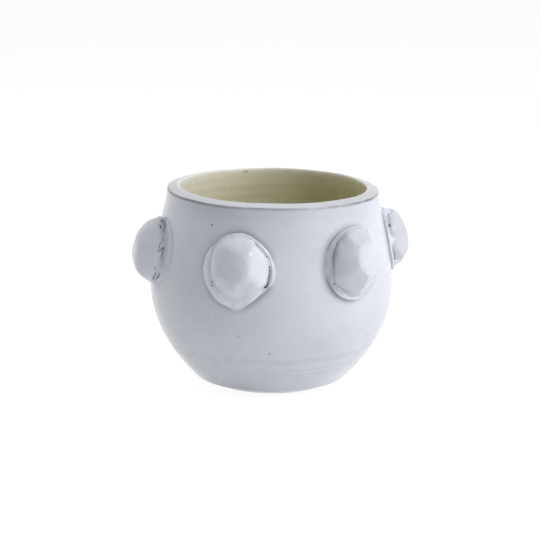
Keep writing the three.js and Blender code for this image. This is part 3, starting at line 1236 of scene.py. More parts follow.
@dataclass(frozen=True)
class Seat:
    """The place of one boss on the wall, with its own axes: round, up and out of the wall."""

    wall: ThrownWall
    azimuth: float  # degrees
    height: float

    @cached_property
    def axes(self) -> Array:
        """The seat's own directions.

        Returns:
            Rows: round the wall, up it, and square out of it.
        """
        angle = math.radians(self.azimuth)
        step = 0.5 * MM
        rise = self.wall.radius(np.array([self.height - step, self.height + step]))
        slope = float(rise[1] - rise[0]) / (2 * step)
        out = np.array((math.sin(angle), -math.cos(angle), -slope))
        out /= np.linalg.norm(out)
        round_wall = np.array((math.cos(angle), math.sin(angle), 0.0))
        return np.array((round_wall, np.cross(out, round_wall), out))

    @cached_property
    def origin(self) -> Array:
        """The point of the even wall at the seat's middle."""
        angle = math.radians(self.azimuth)
        radius = float(self.wall.radius(np.array([self.height]))[0])
        return np.array((radius * math.sin(angle), -radius * math.cos(angle), self.height))

    def world(self, local: Array) -> Array:
        """Places of the seat's own space in the frame."""
        return self.origin + local @ self.axes

    def local(self, places: Array) -> Array:
        """Places of the frame in the seat's own space."""
        return (places - self.origin) @ self.axes.T

    def normals(self, places: Array) -> Array:
        """Unit directions square out of the even wall.

        Args:
            places: rows (x, y, z).

        Returns:
            A direction for each row.
        """
        radius = reach_of(places)
        step = 1 * MM
        rise = self.wall.radius(places[:, 2] + step) - self.wall.radius(places[:, 2] - step)
        slope = rise / (2 * step)
        normal = np.column_stack((places[:, 0] / radius, places[:, 1] / radius, -slope))
        return unit(normal)

    def lift(self, places: Array) -> Array:
        """How far places of the frame stand out of the even wall."""
        slant = np.hypot(*self.normals(places)[:, :2].T)
        return (reach_of(places) - self.wall.radius(places[:, 2])) * slant

    def onto_wall(self, across: Array, upward: Array, lift: Array) -> Array:
        """Lay points on the worked wall.

        Args:
            across: distances round the wall from the seat's middle.
            upward: distances up the wall from it.
            lift: how far each point stands out of the wall.

        Returns:
            Their places in the frame.
        """
        low = np.full(len(across), SEARCH_FROM)
        high = np.full(len(across), SEARCH_TO)
        for _ in range(SEARCH_HALVINGS):
            depth = (low + high) / 2
            places = self.world(np.column_stack((across, upward, depth)))
            azimuth = azimuth_of(places)
            proud = reach_of(places) > self.wall.face(azimuth, places[:, 2])
            high = np.where(proud, depth, high)
            low = np.where(proud, low, depth)
        return places + self.normals(places) * lift[:, None]

    def on_wall(self) -> tuple[float, float, float]:
        """The place of the seat's middle on the worked wall."""
        zero = np.zeros(1)
        place = self.wall.settle(self.onto_wall(zero, zero, zero))[0]
        return (float(place[0]), float(place[1]), float(place[2]))


# ---- cracks and pits


@dataclass(frozen=True)
class Crack:
    """A ragged crack that shows the clay, or a pit where it has a single point.

    Its points are in the seat's own space, in millimetres: round the wall, up it and out of it.
    """

    points: tuple[tuple[float, float, float], ...]
    breadth: float
    depth: float = 0.8
    darkness: float = 1.0
    through: float = 3.0  # how far off the surface its points may lie
    ragged: float = 0.22  # how uneven its edges are, as a share of half its breadth
    grain: float = 2.2 * MM

    def mask(self, local: Array, normals: Array) -> Array:
        """How much each vertex lies in the crack.

        Args:
            local: the vertices in the seat's own space.
            normals: their normals in the same space.

        Returns:
            Shares from 0 to 1.
        """
        points = np.array(self.points) * MM
        nearest = np.full(len(local), 1.0)
        for start, end in zip(points, points[1:] if len(points) > 1 else points):
            line = end - start
            length = max(float(line @ line), 1e-12)
            share = np.clip(((local - start) @ line) / length, 0, 1)[:, None]
            off = local - (start + share * line)
            over = (off * normals).sum(axis=1)
            flat = np.linalg.norm(off - normals * over[:, None], axis=1)
            nearest = np.minimum(nearest, np.where(np.abs(over) < self.through * MM, flat, 1.0))
        half = 0.5 * self.breadth * MM
        uneven = nearest + self.ragged * half * Lumps(self.grain, 7).at(local)
        return eased(np.clip((1.3 * half - uneven) / (0.75 * half), 0, 1))


def carve(piece: Piece, seat: Seat, cracks: tuple[Crack, ...], clay: Array) -> None:
    """Cut the cracks into a piece, and mark where its clay shows.

    Args:
        piece: the piece, its vertices in the frame.
        seat: the seat whose space the cracks are in.
        cracks: all the cracks round this seat.
        clay: the marks that the piece already has.
    """
    piece.data.update()
    flat = np.empty(len(piece.data.vertices) * 3)
    piece.data.vertices.foreach_get("normal", flat)
    normals = flat.reshape(-1, 3)
    places = Bench.read(piece)
    local = seat.local(places)
    turned = normals @ seat.axes.T
    depth = np.zeros(len(places))
    for crack in cracks:
        share = crack.mask(local, turned)
        depth = np.maximum(depth, crack.depth * MM * share)
        clay = np.maximum(clay, crack.darkness * share)
    Bench.mark(piece, "clay", clay)
    Bench.write(piece, places - normals * depth[:, None])


# ---- bosses


@dataclass(frozen=True)
class Thumb:
    """A facet that a thumb pressed into the ball."""

    around: float  # degrees round the seat, from its right-hand side
    tilt: float  # degrees from straight out
    depth: float  # millimetres


# ---- what the hand changes


class Trait(Enum):
    """What a hand changes as it presses the coil down. Lengths are in millimetres."""

    CREST = "how high it stands"
    FLANK = "how much of its width the outer slope takes"
    TOE = "how far its outer edge is dragged on to the wall, below 0 where it is undercut"
    VALLEY = "how much it dips between its crest and the ball"
    CLIMB = "how much of the joint is smeared up the ball, from 0 to 1"
    GAP = "how far an open joint gapes"
    GROOVE = "how deep an open joint's edge is rounded"
    # the darkening in the crease outside the coil and on its outer edge is painted shade
    STAIN = "how thin the glaze lies in the crease outside it, from 0 to 1"
    # the darkening along the joint is thin glaze and painted shade; on some bosses it spreads over
    # the shaded side of the ball
    GRIME = "how thin it lies along the joint, from 0 to 1"
    FILL = "how much clay fills the corner between the coil and the ball, usually 1"


@dataclass(frozen=True)
class HandWork:
    """How the hand made one boss differ from the usual one. Lengths are in millimetres."""

    turn: float  # degrees from an even spacing
    lower: float
    wider: float
    longer: float
    prouder: float
    thumbs: tuple[Thumb, ...]
    pad: Outline
    # where a trait grows or shrinks: its direction and half its spread in degrees, and by how much
    swells: dict[Trait, tuple[tuple[float, float, float], ...]]
    ball: Outline | None = None  # the ball's own outline where it is known
    cracks: tuple[Crack, ...] = ()
    fullness: float = 2.2
    softness: float = 0.95  # how round the edges of its facets are
    bareness: float = 1.0  # how much clay shows in its open joint
    thin_glaze_and_shade_reach: float = 9.0  # how far the thin glaze and painted shade spread from the joint
    thin_glaze_and_shade_gain: float = 1.0  # how much more of the thin glaze and painted shade the coil has than the ball
    toe_shade: float = 0.8  # how much painted shade darkens the coil's outer edge
    # each boss's glaze is made lighter or darker as painted light and shade
    painted_light_scale: float = 1.0
    coil_painted_light: float = 0.0  # added to it for the coil


@dataclass(frozen=True)
class BallShape:
    """The form of a ball of clay pressed on to the wall, in its seat's own space."""

    radii: tuple[float, float, float]
    outline: Outline | None
    thumbs: tuple[Thumb, ...]
    seed: int
    fullness: float = 2.2  # 2 is an even ellipse, more is squarer
    sink: float = 4 * MM
    flatness: float = 0.90
    softness: float = 0.95 * MM
    lump: float = 0.22 * MM
    lump_size: float = 17 * MM
    dimple: float = 0.045 * MM
    dimple_size: float = 4.5 * MM

    @property
    def centre(self) -> Array:
        """The ball's middle, a little way inside the wall."""
        return np.array((0.0, 0.0, -self.sink))

    def even_rim(self, angle: Array) -> Array:
        """The radius round the seat before the outline is pressed."""
        across, tall, _ = self.radii
        return across * tall / np.hypot(tall * np.cos(angle), across * np.sin(angle))

    def rim(self, angle: Array) -> Array:
        """The ball's radius round the seat where it is widest."""
        return self.even_rim(angle) if self.outline is None else self.outline.radius(angle)

    def side(self, angle: Array, lift: Array, sag: float) -> Array:
        """How far the ball's side falls back from its rim at some lift above the wall."""
        level = np.clip(np.abs(lift + self.sink - sag) / self.radii[2], 0, 0.98)
        return self.rim(angle) * ((1 - level**self.fullness) ** (1 / self.fullness) - 1)

    def squeeze(self, places: Array) -> Array:
        """Bring the even ball to its own outline, most where it is widest.

        Args:
            places: the ball's vertices in the seat's own space.

        Returns:
            The moved vertices.
        """
        angle = angle_of(places)
        even = (places - self.centre) / np.array(self.radii)
        wide = reach_of(even) ** self.fullness
        full = (wide + np.abs(even[:, 2]) ** self.fullness) ** (-1 / self.fullness)
        level = np.clip(even[:, 2] * full, -1, 1)
        factor = 1 + (self.rim(angle) / self.even_rim(angle) - 1) * (1 - level**2)
        shape = np.column_stack((factor * full, factor * full, full))
        return (places - self.centre) * shape + self.centre

    def press(self, places: Array) -> Array:
        """Press the thumb facets, each with a soft edge.

        Args:
            places: the ball's vertices in the seat's own space.

        Returns:
            The moved vertices.
        """
        for thumb in self.thumbs:
            around = math.radians(thumb.around)
            tilt = math.radians(thumb.tilt)
            flat = math.sin(tilt)
            toward = np.array((flat * math.cos(around), flat * math.sin(around), math.cos(tilt)))
            limit = float(np.linalg.norm(toward * np.array(self.radii))) - thumb.depth * MM
            over = (places - self.centre) @ toward - limit
            soft = self.softness * np.logaddexp(0.0, over / self.softness)
            places = places - toward * (self.flatness * soft)[:, None]
        return places

    def knead(self, places: Array) -> Array:
        """Raise the slow lumps and small dimples."""
        rise = self.lump * Lumps(self.lump_size, self.seed).at(places)
        rise += self.dimple * Lumps(self.dimple_size, self.seed + 50).at(places)
        return places + unit(places - self.centre) * rise[:, None]

    def shaped(self, places: Array) -> Array:
        """Work the vertices of an even ball into this one."""
        return self.knead(self.press(self.squeeze(places)))

    def reach(self, ways: Array) -> Array:
        """The distance from the ball's middle to its surface.

        Args:
            ways: unit directions from the middle.

        Returns:
            The distances.
        """
        aim = ways.copy()
        for _ in range(4):
            start = aim / np.linalg.norm(aim / np.array(self.radii), axis=1, keepdims=True)
            found = self.shaped(start + self.centre) - self.centre
            length = np.linalg.norm(found, axis=1)
            aim = aim + ways - found / length[:, None]
        return length


@dataclass
class PressedBoss:
    """A ball of clay pressed on to the wall."""

    coil: LutingCoil
    glaze: TinGlaze
    bedding: float = 6.5 * MM  # how deep its flat back lies in the wall
    roundness: int = 7  # how often the ball's faces are halved

    def roll(self) -> Piece:
        """Roll the ball, stretch it to its radii and slice its back flat.

        Returns:
            The ball in the seat's own space.
        """
        shape = self.coil.ball
        Bench.clear()
        bpy.ops.mesh.primitive_ico_sphere_add(
            subdivisions=self.roundness, radius=1.0, location=(0, 0, 0)
        )
        ball = bpy.context.object
        ball.name = f"glazed_boss_{self.coil.number}"
        Bench.open_mesh(ball)
        bpy.ops.transform.resize(value=shape.radii)
        bpy.ops.transform.translate(value=(0.0, 0.0, -shape.sink))
        back, out = (0.0, 0.0, -self.bedding), (0.0, 0.0, 1.0)
        bpy.ops.mesh.bisect(plane_co=back, plane_no=out, use_fill=True, clear_inner=True)
        Bench.close_mesh(ball)
        return ball

    def build(self) -> Piece:
        """Shape the ball, set it on the wall, crack it and glaze it.

        Returns:
            The finished boss.
        """
        coil = self.coil
        ball = self.roll()
        local = coil.ball.shaped(Bench.read(ball))
        places = coil.seat.world(local)
        angle = angle_of(local)
        below = coil.trait(Trait.CREST, angle) - 0.5 * MM - coil.seat.lift(places)
        clay = coil.open_share(angle) * np.clip(below / (0.6 * MM), 0, 1)
        # the ball darkens near its joint with thin glaze and painted shade
        Bench.mark(ball, "thin_glaze_and_shade", coil.thin_glaze_and_shade(places))
        Bench.mark(ball, "crest_highlight_share", np.zeros(len(places)))
        Bench.write(ball, coil.seat.wall.settle(places))
        carve(ball, coil.seat, coil.hand.cracks, clay)
        Bench.take(ball)
        bpy.ops.object.shade_smooth()
        ball.data.materials.append(self.glaze.material(f"boss_{coil.number}_glaze"))
        return ball


# ---- luting coils


USUAL = {
    Trait.CREST: 4.4,
    Trait.FLANK: 1.7,
    Trait.TOE: 0.0,
    Trait.VALLEY: 0.5,
    Trait.CLIMB: 1.0,
    Trait.GAP: -0.5,
    Trait.GROOVE: 0.8,
    Trait.STAIN: 0.45,
    Trait.GRIME: 0.10,
    Trait.FILL: 1.0,
}


@dataclass
class LutingCoil:
    """The ring of soft clay pressed round the foot of a boss, and smeared on to the wall."""

    number: int
    seat: Seat
    ball: BallShape
    hand: HandWork
    glaze: TinGlaze
    climb: float = 7.5 * MM
    unevenness: float = 0.10
    sag: float = 3.3 * MM  # how far the round wall falls away at the ball's edge
    crease_width: float = 3.2 * MM
    crease_depth: float = 25 * MM  # no crease is looked for on the far wall, beyond this
    press_size: float = 8 * MM
    press_depth: float = 0.20 * MM
    drag_size: float = 2.6 * MM
    drag_depth: float = 0.07 * MM
    crest_row: float = 4.9  # the control point that is the crest, counted from the toe
    around_steps: int = 256
    section_steps: int = 36

    def trait(self, which: Trait, angle: Array) -> Array:
        """A trait at each angle round the coil.

        Args:
            which: the trait.
            angle: angles in radians.

        Returns:
            Its values, lengths in metres.
        """
        values = np.full(len(angle), USUAL[which])
        for at, spread, amount in self.hand.swells.get(which, ()):
            off = apart(angle, at) / math.radians(spread)
            values += amount * np.exp(-(off**4))
        if which in (Trait.CLIMB, Trait.STAIN, Trait.GRIME):
            return np.clip(values, 0, 1)
        if which is Trait.FILL:
            return values
        if which in (Trait.CREST, Trait.FLANK):
            phase = self.number * 2.3 + len(which.value)
            wave = np.sin(3 * angle + phase) + 0.7 * np.sin(7 * angle + 2 * phase)
            values *= 1 + self.unevenness * (wave + 0.5 * np.sin(13 * angle + 3 * phase))
        if which is Trait.GAP:
            wave = np.sin(31 * angle + self.number) + np.sin(53 * angle) + np.sin(83 * angle + 1.3)
            values += 0.14 * wave * np.clip(values, 0, 1)
        return values * MM

    def open_share(self, angle: Array) -> Array:
        """Where clay shows in the gaping joint, from 0 to 1."""
        return self.hand.bareness * np.clip(self.trait(Trait.GAP, angle) / (0.35 * MM), 0, 1)

    def thin_glaze_and_shade(self, places: Array) -> Array:
        """How far thin glaze and painted shade darken places of the ball or the coil near their
        joint.

        Args:
            places: places of the frame.

        Returns:
            Shares from 0 to 1.
        """
        local = self.seat.local(places)
        angle = angle_of(local)
        out = reach_of(local) - self.ball.rim(angle)
        above = self.seat.lift(places) - self.trait(Trait.CREST, angle) - 1 * MM
        share = self.trait(Trait.GRIME, angle)
        reach = (1.2 + self.hand.thin_glaze_and_shade_reach * share**2) * MM
        far = (np.clip(out, 0, None) / reach) ** 2 + (np.clip(above, 0, None) / reach) ** 2
        return np.exp(-far) * share

    def controls(self, angle: Array) -> Array:
        """The section's control points at each angle, from the toe over the crest and back.

        Args:
            angle: angles in radians.

        Returns:
            An array of (control point, angle, 4): the distance from the ball's rim, the lift,
            how much the point keeps to the ball's true side, and its distance from that side.
        """
        traits = (self.trait(which, angle) for which in Trait)
        crest, flank, toe, valley, climb, gap, groove, _, _, fill = traits
        width = self.hand.pad.radius(angle) - self.ball.rim(angle)
        share = eased(climb)
        inner = np.minimum((1.3 + 2.9 * share * fill) * MM, 0.45 * width) + np.maximum(gap, 0)
        flank = np.minimum(flank, width - inner - 0.3 * MM)
        top = width - flank
        ramp = np.clip((flank - 2.4 * MM) / (2 * MM), 0, 1)
        none = np.zeros(len(angle))
        whole = np.ones(len(angle))
        wall_rows = [
            (width + toe + 0.4 * MM, none - 1.8 * MM, none, none),
            (width + toe, none - 0.2 * MM, none, none),
            (width + 0.55 * toe, (0.14 - 0.06 * ramp) * crest, none, none),
            (width + 0.12 * toe, (0.42 - 0.22 * ramp) * crest, none, none),
            (width - 0.30 * flank, (0.78 - 0.28 * ramp) * crest, none, none),
            (top, 0.97 * crest, none, none),
            (0.5 * (top + inner), crest - 0.5 * valley, none, none),
            (inner, crest - valley, 0.6 * (1 - 0.5 * share), inner),
        ]
        rise = self.climb * fill
        smeared = [
            (crest - valley + 0.20 * rise, whole, 1.60 * MM * fill),
            (crest + 0.55 * rise, whole, 0.24 * MM * fill),
            (crest + rise, whole, none - 0.10 * MM),
            (crest + rise - 0.9 * MM, whole, none - 1.4 * MM),
        ]
        parted = [
            (crest - 0.30 * groove, whole, gap + 0.75 * MM),
            (crest - groove, whole, gap + 0.06 * MM),
            (np.maximum(crest - 1.9 * groove - 0.4 * MM, 0.9 * MM), whole, gap - 0.04 * MM),
            (none + 0.5 * MM, whole, none - 1.1 * MM),
        ]
        joint_rows = []
        for (lift_a, keep_a, off_a), (lift_b, keep_b, off_b) in zip(parted, smeared):
            lift = lift_a + (lift_b - lift_a) * share
            keep = keep_a + (keep_b - keep_a) * share
            off = off_a + (off_b - off_a) * share
            joint_rows.append((self.ball.side(angle, lift, self.sag) + off, lift, keep, off))
        under_rows = [
            (none - 2.2 * MM, none - 2.4 * MM, none, none),
            (0.5 * width, none - 2.8 * MM, none, none),
        ]
        rows = wall_rows + joint_rows + under_rows
        return np.array([np.column_stack(row) for row in rows])

    def section(self, angle: Array, turn: Array) -> Array:
        """Follow the closed section with a smooth curve through its control points.

        Args:
            angle: the angle of each vertex round the coil.
            turn: its place round the section, from 0 to 1.

        Returns:
            For each vertex what controls gives for a control point.
        """
        controls = self.controls(angle)
        count = len(controls)
        scaled = turn * count
        first = np.floor(scaled).astype(int) % count
        t = (scaled - np.floor(scaled))[:, None]
        rows = np.arange(len(angle))
        a, b, c, d = (controls[(first + k) % count, rows] for k in (-1, 0, 1, 2))
        square, cube = 2 * a - 5 * b + 4 * c - d, 3 * b - a - 3 * c + d
        return 0.5 * (2 * b + (c - a) * t + square * t**2 + cube * t**3)

    def hug(self, places: Array, keep: Array, off: Array) -> Array:
        """Bring the joint's vertices to the ball's true side.

        Args:
            places: the coil's vertices.
            keep: how much each keeps to the ball.
            off: how far from the ball's side it is then.

        Returns:
            The vertices.
        """
        near = np.nonzero(keep > 0.001)[0]
        local = self.seat.local(places[near]) - self.ball.centre
        ways = unit(local)
        aimed = ways * (self.ball.reach(ways) + off[near])[:, None]
        share = np.clip(keep[near], 0, 1)[:, None]
        moved = places.copy()
        moved[near] = self.seat.world(self.ball.centre + local * (1 - share) + aimed * share)
        return moved

    def crease(self, places: Array) -> Array:
        """How much painted shade a point of the wall gets in the crease round the coil.

        Args:
            places: places of the outside wall.

        Returns:
            Shares from 0 to 1.
        """
        local = self.seat.local(places)
        angle = angle_of(local)
        past = reach_of(local) - self.hand.pad.radius(angle)
        crease_shade_share = self.trait(Trait.STAIN, angle)
        width = self.crease_width * (0.65 + 0.65 * crease_shade_share)
        near = bell(np.clip(past, 0, None), width)
        return near * crease_shade_share * (local[:, 2] > -self.crease_depth)

    def smear(self, places: Array, lift: Array, keep: Array) -> Array:
        """Leave small finger marks where the coil stands out of the wall."""
        rise = self.press_depth * Lumps(self.press_size, self.number).at(places)
        rise += self.drag_depth * Lumps(self.drag_size, 90 + self.number).at(places)
        share = np.clip(lift / (1.6 * MM), 0, 1) * np.clip(1 - keep, 0, 1)
        return places + self.seat.normals(places) * (rise * share)[:, None]

    def ring(self) -> Piece:
        """Roll the plain ring of clay.

        Returns:
            A ring round the origin, a metre wide.
        """
        Bench.clear()
        bpy.ops.mesh.primitive_torus_add(
            major_radius=1.0, minor_radius=0.25, location=(0, 0, 0),
            major_segments=self.around_steps, minor_segments=self.section_steps,
        )
        coil = bpy.context.object
        coil.name = f"glazed_coil_{self.number}"
        Bench.open_mesh(coil)
        bpy.ops.mesh.subdivide(number_cuts=1)
        bpy.ops.object.mode_set(mode="OBJECT")
        return coil

    def build(self) -> Piece:
        """Lay the ring round the ball, press it to the wall, crack it and glaze it.

        Returns:
            The finished coil.
        """
        coil = self.ring()
        ring = Bench.read(coil)
        angle = angle_of(ring)
        turn = np.arctan2(ring[:, 2], reach_of(ring) - 1.0) / math.tau
        distance, lift, keep, off = self.section(angle, turn % 1.0).T
        reach = self.ball.rim(angle) + distance
        places = self.seat.onto_wall(reach * np.cos(angle), reach * np.sin(angle), lift)
        places = self.smear(self.hug(places, keep, off), lift, keep)
        below = self.trait(Trait.CREST, angle) - 0.7 * MM - lift
        clay = self.open_share(angle) * np.clip(below / (0.7 * MM), 0, 1) * (keep > 0.5)
        count = len(self.controls(np.zeros(1)))
        # painted highlight along the coil's crest, strongest where the coil stands tall
        on_crest = bell((turn % 1.0) * count - self.crest_row, 1.1)
        tall = np.clip((self.trait(Trait.CREST, angle) - 1.8 * MM) / (2.4 * MM), 0, 1)
        Bench.mark(coil, "crest_highlight_share", on_crest * tall)
        low = bell(np.clip(lift, 0, None), 1.7 * MM)
        # painted shade on the coil's outer edge, where it meets the wall
        toe = self.hand.toe_shade * self.trait(Trait.STAIN, angle) * low
        thin_glaze_and_shade = np.clip(self.hand.thin_glaze_and_shade_gain * self.thin_glaze_and_shade(places), 0, 1)
        Bench.mark(coil, "thin_glaze_and_shade", np.maximum(thin_glaze_and_shade, toe * (distance > 1.5 * MM)))
        Bench.write(coil, self.seat.wall.settle(places))
        carve(coil, self.seat, self.hand.cracks, clay)
        Bench.open_mesh(coil)
        Bench.close_mesh(coil)
        bpy.ops.object.shade_smooth()
        coil.data.materials.append(self.glaze.material(f"coil_{self.number}_glaze"))
        return coil


# ---- the six bosses


@dataclass
class BossRing:
    """Six bosses with their coils, evenly spaced round the shoulder."""

    wall: ThrownWall
    glaze: TinGlaze
    hands: tuple[HandWork, ...]
    first_azimuth: float = -15.0
    below_rim: float = 57 * MM
    width: float = 57 * MM
    length: float = 61.5 * MM
    proud: float = 22.5 * MM
    sink: float = 4 * MM
    pieces: list[tuple[Piece, str, str]] = field(default_factory=list)

    def seat(self, index: int) -> Seat:
        """The seat of one boss.

        Args:
            index: its index round the pot, from 0.

        Returns:
            The seat.
        """
        hand = self.hands[index]
        azimuth = self.first_azimuth + 360 / len(self.hands) * index + hand.turn
        return Seat(self.wall, azimuth, self.wall.height - self.below_rim - hand.lower * MM)

    def ball(self, index: int) -> BallShape:
        """The form of one boss.

        Args:
            index: its index round the pot, from 0.

        Returns:
            The shape of its ball.
        """
        hand = self.hands[index]
        across = (self.width + hand.wider * MM) / 2
        tall = (self.length + hand.longer * MM) / 2
        radii = (across, tall, self.proud + hand.prouder * MM + self.sink)
        return BallShape(
            radii, hand.ball, hand.thumbs, index + 1, hand.fullness, self.sink,
            softness=hand.softness * MM,
        )

    @cached_property
    def coils(self) -> tuple[LutingCoil, ...]:
        """The coil of every boss."""
        made = []
        for index, hand in enumerate(self.hands):
            # the coil's glaze is made lighter or darker as painted light and shade
            glaze = self.glaze.shaded(hand.painted_light_scale + hand.coil_painted_light)
            made.append(LutingCoil(index + 1, self.seat(index), self.ball(index), hand, glaze))
        return tuple(made)

    def mark_creases(self, vessel: Piece) -> None:
        """Paint shade on the vessel: in the creases round the coils and in the grooves of the
        throwing rings.

        Args:
            vessel: the finished vessel.
        """
        places = Bench.read(vessel)
        azimuth = azimuth_of(places)
        deepest = max(ring.depth for ring in self.wall.rings)
        marks = self.wall.throwing_marks(azimuth, places[:, 2]) / deepest
        outside = reach_of(places) > self.wall.radius(places[:, 2]) - 3 * MM
        creases = [coil.crease(places) for coil in self.coils]
        # painted shade in the grooves of the throwing rings
        creases.append(0.30 * np.clip(-marks - 0.15, 0, 1) * outside)
        Bench.mark(vessel, "crease", np.max(creases, axis=0))

    def build(self) -> None:
        """Make every boss and its coil."""
        for coil in self.coils:
            boss = PressedBoss(coil, self.glaze.shaded(coil.hand.painted_light_scale))
            self.pieces.append((boss.build(), f"boss_{coil.number}", "boss_glaze"))
            self.pieces.append((coil.build(), f"luting_coil_{coil.number}", "coil_glaze"))
            log.info("boss %d with its coil at %.1f degrees", coil.number, coil.seat.azimuth)


CREST, FLANK, TOE, VALLEY, CLIMB, GAP, GROOVE, STAIN, GRIME, FILL = Trait

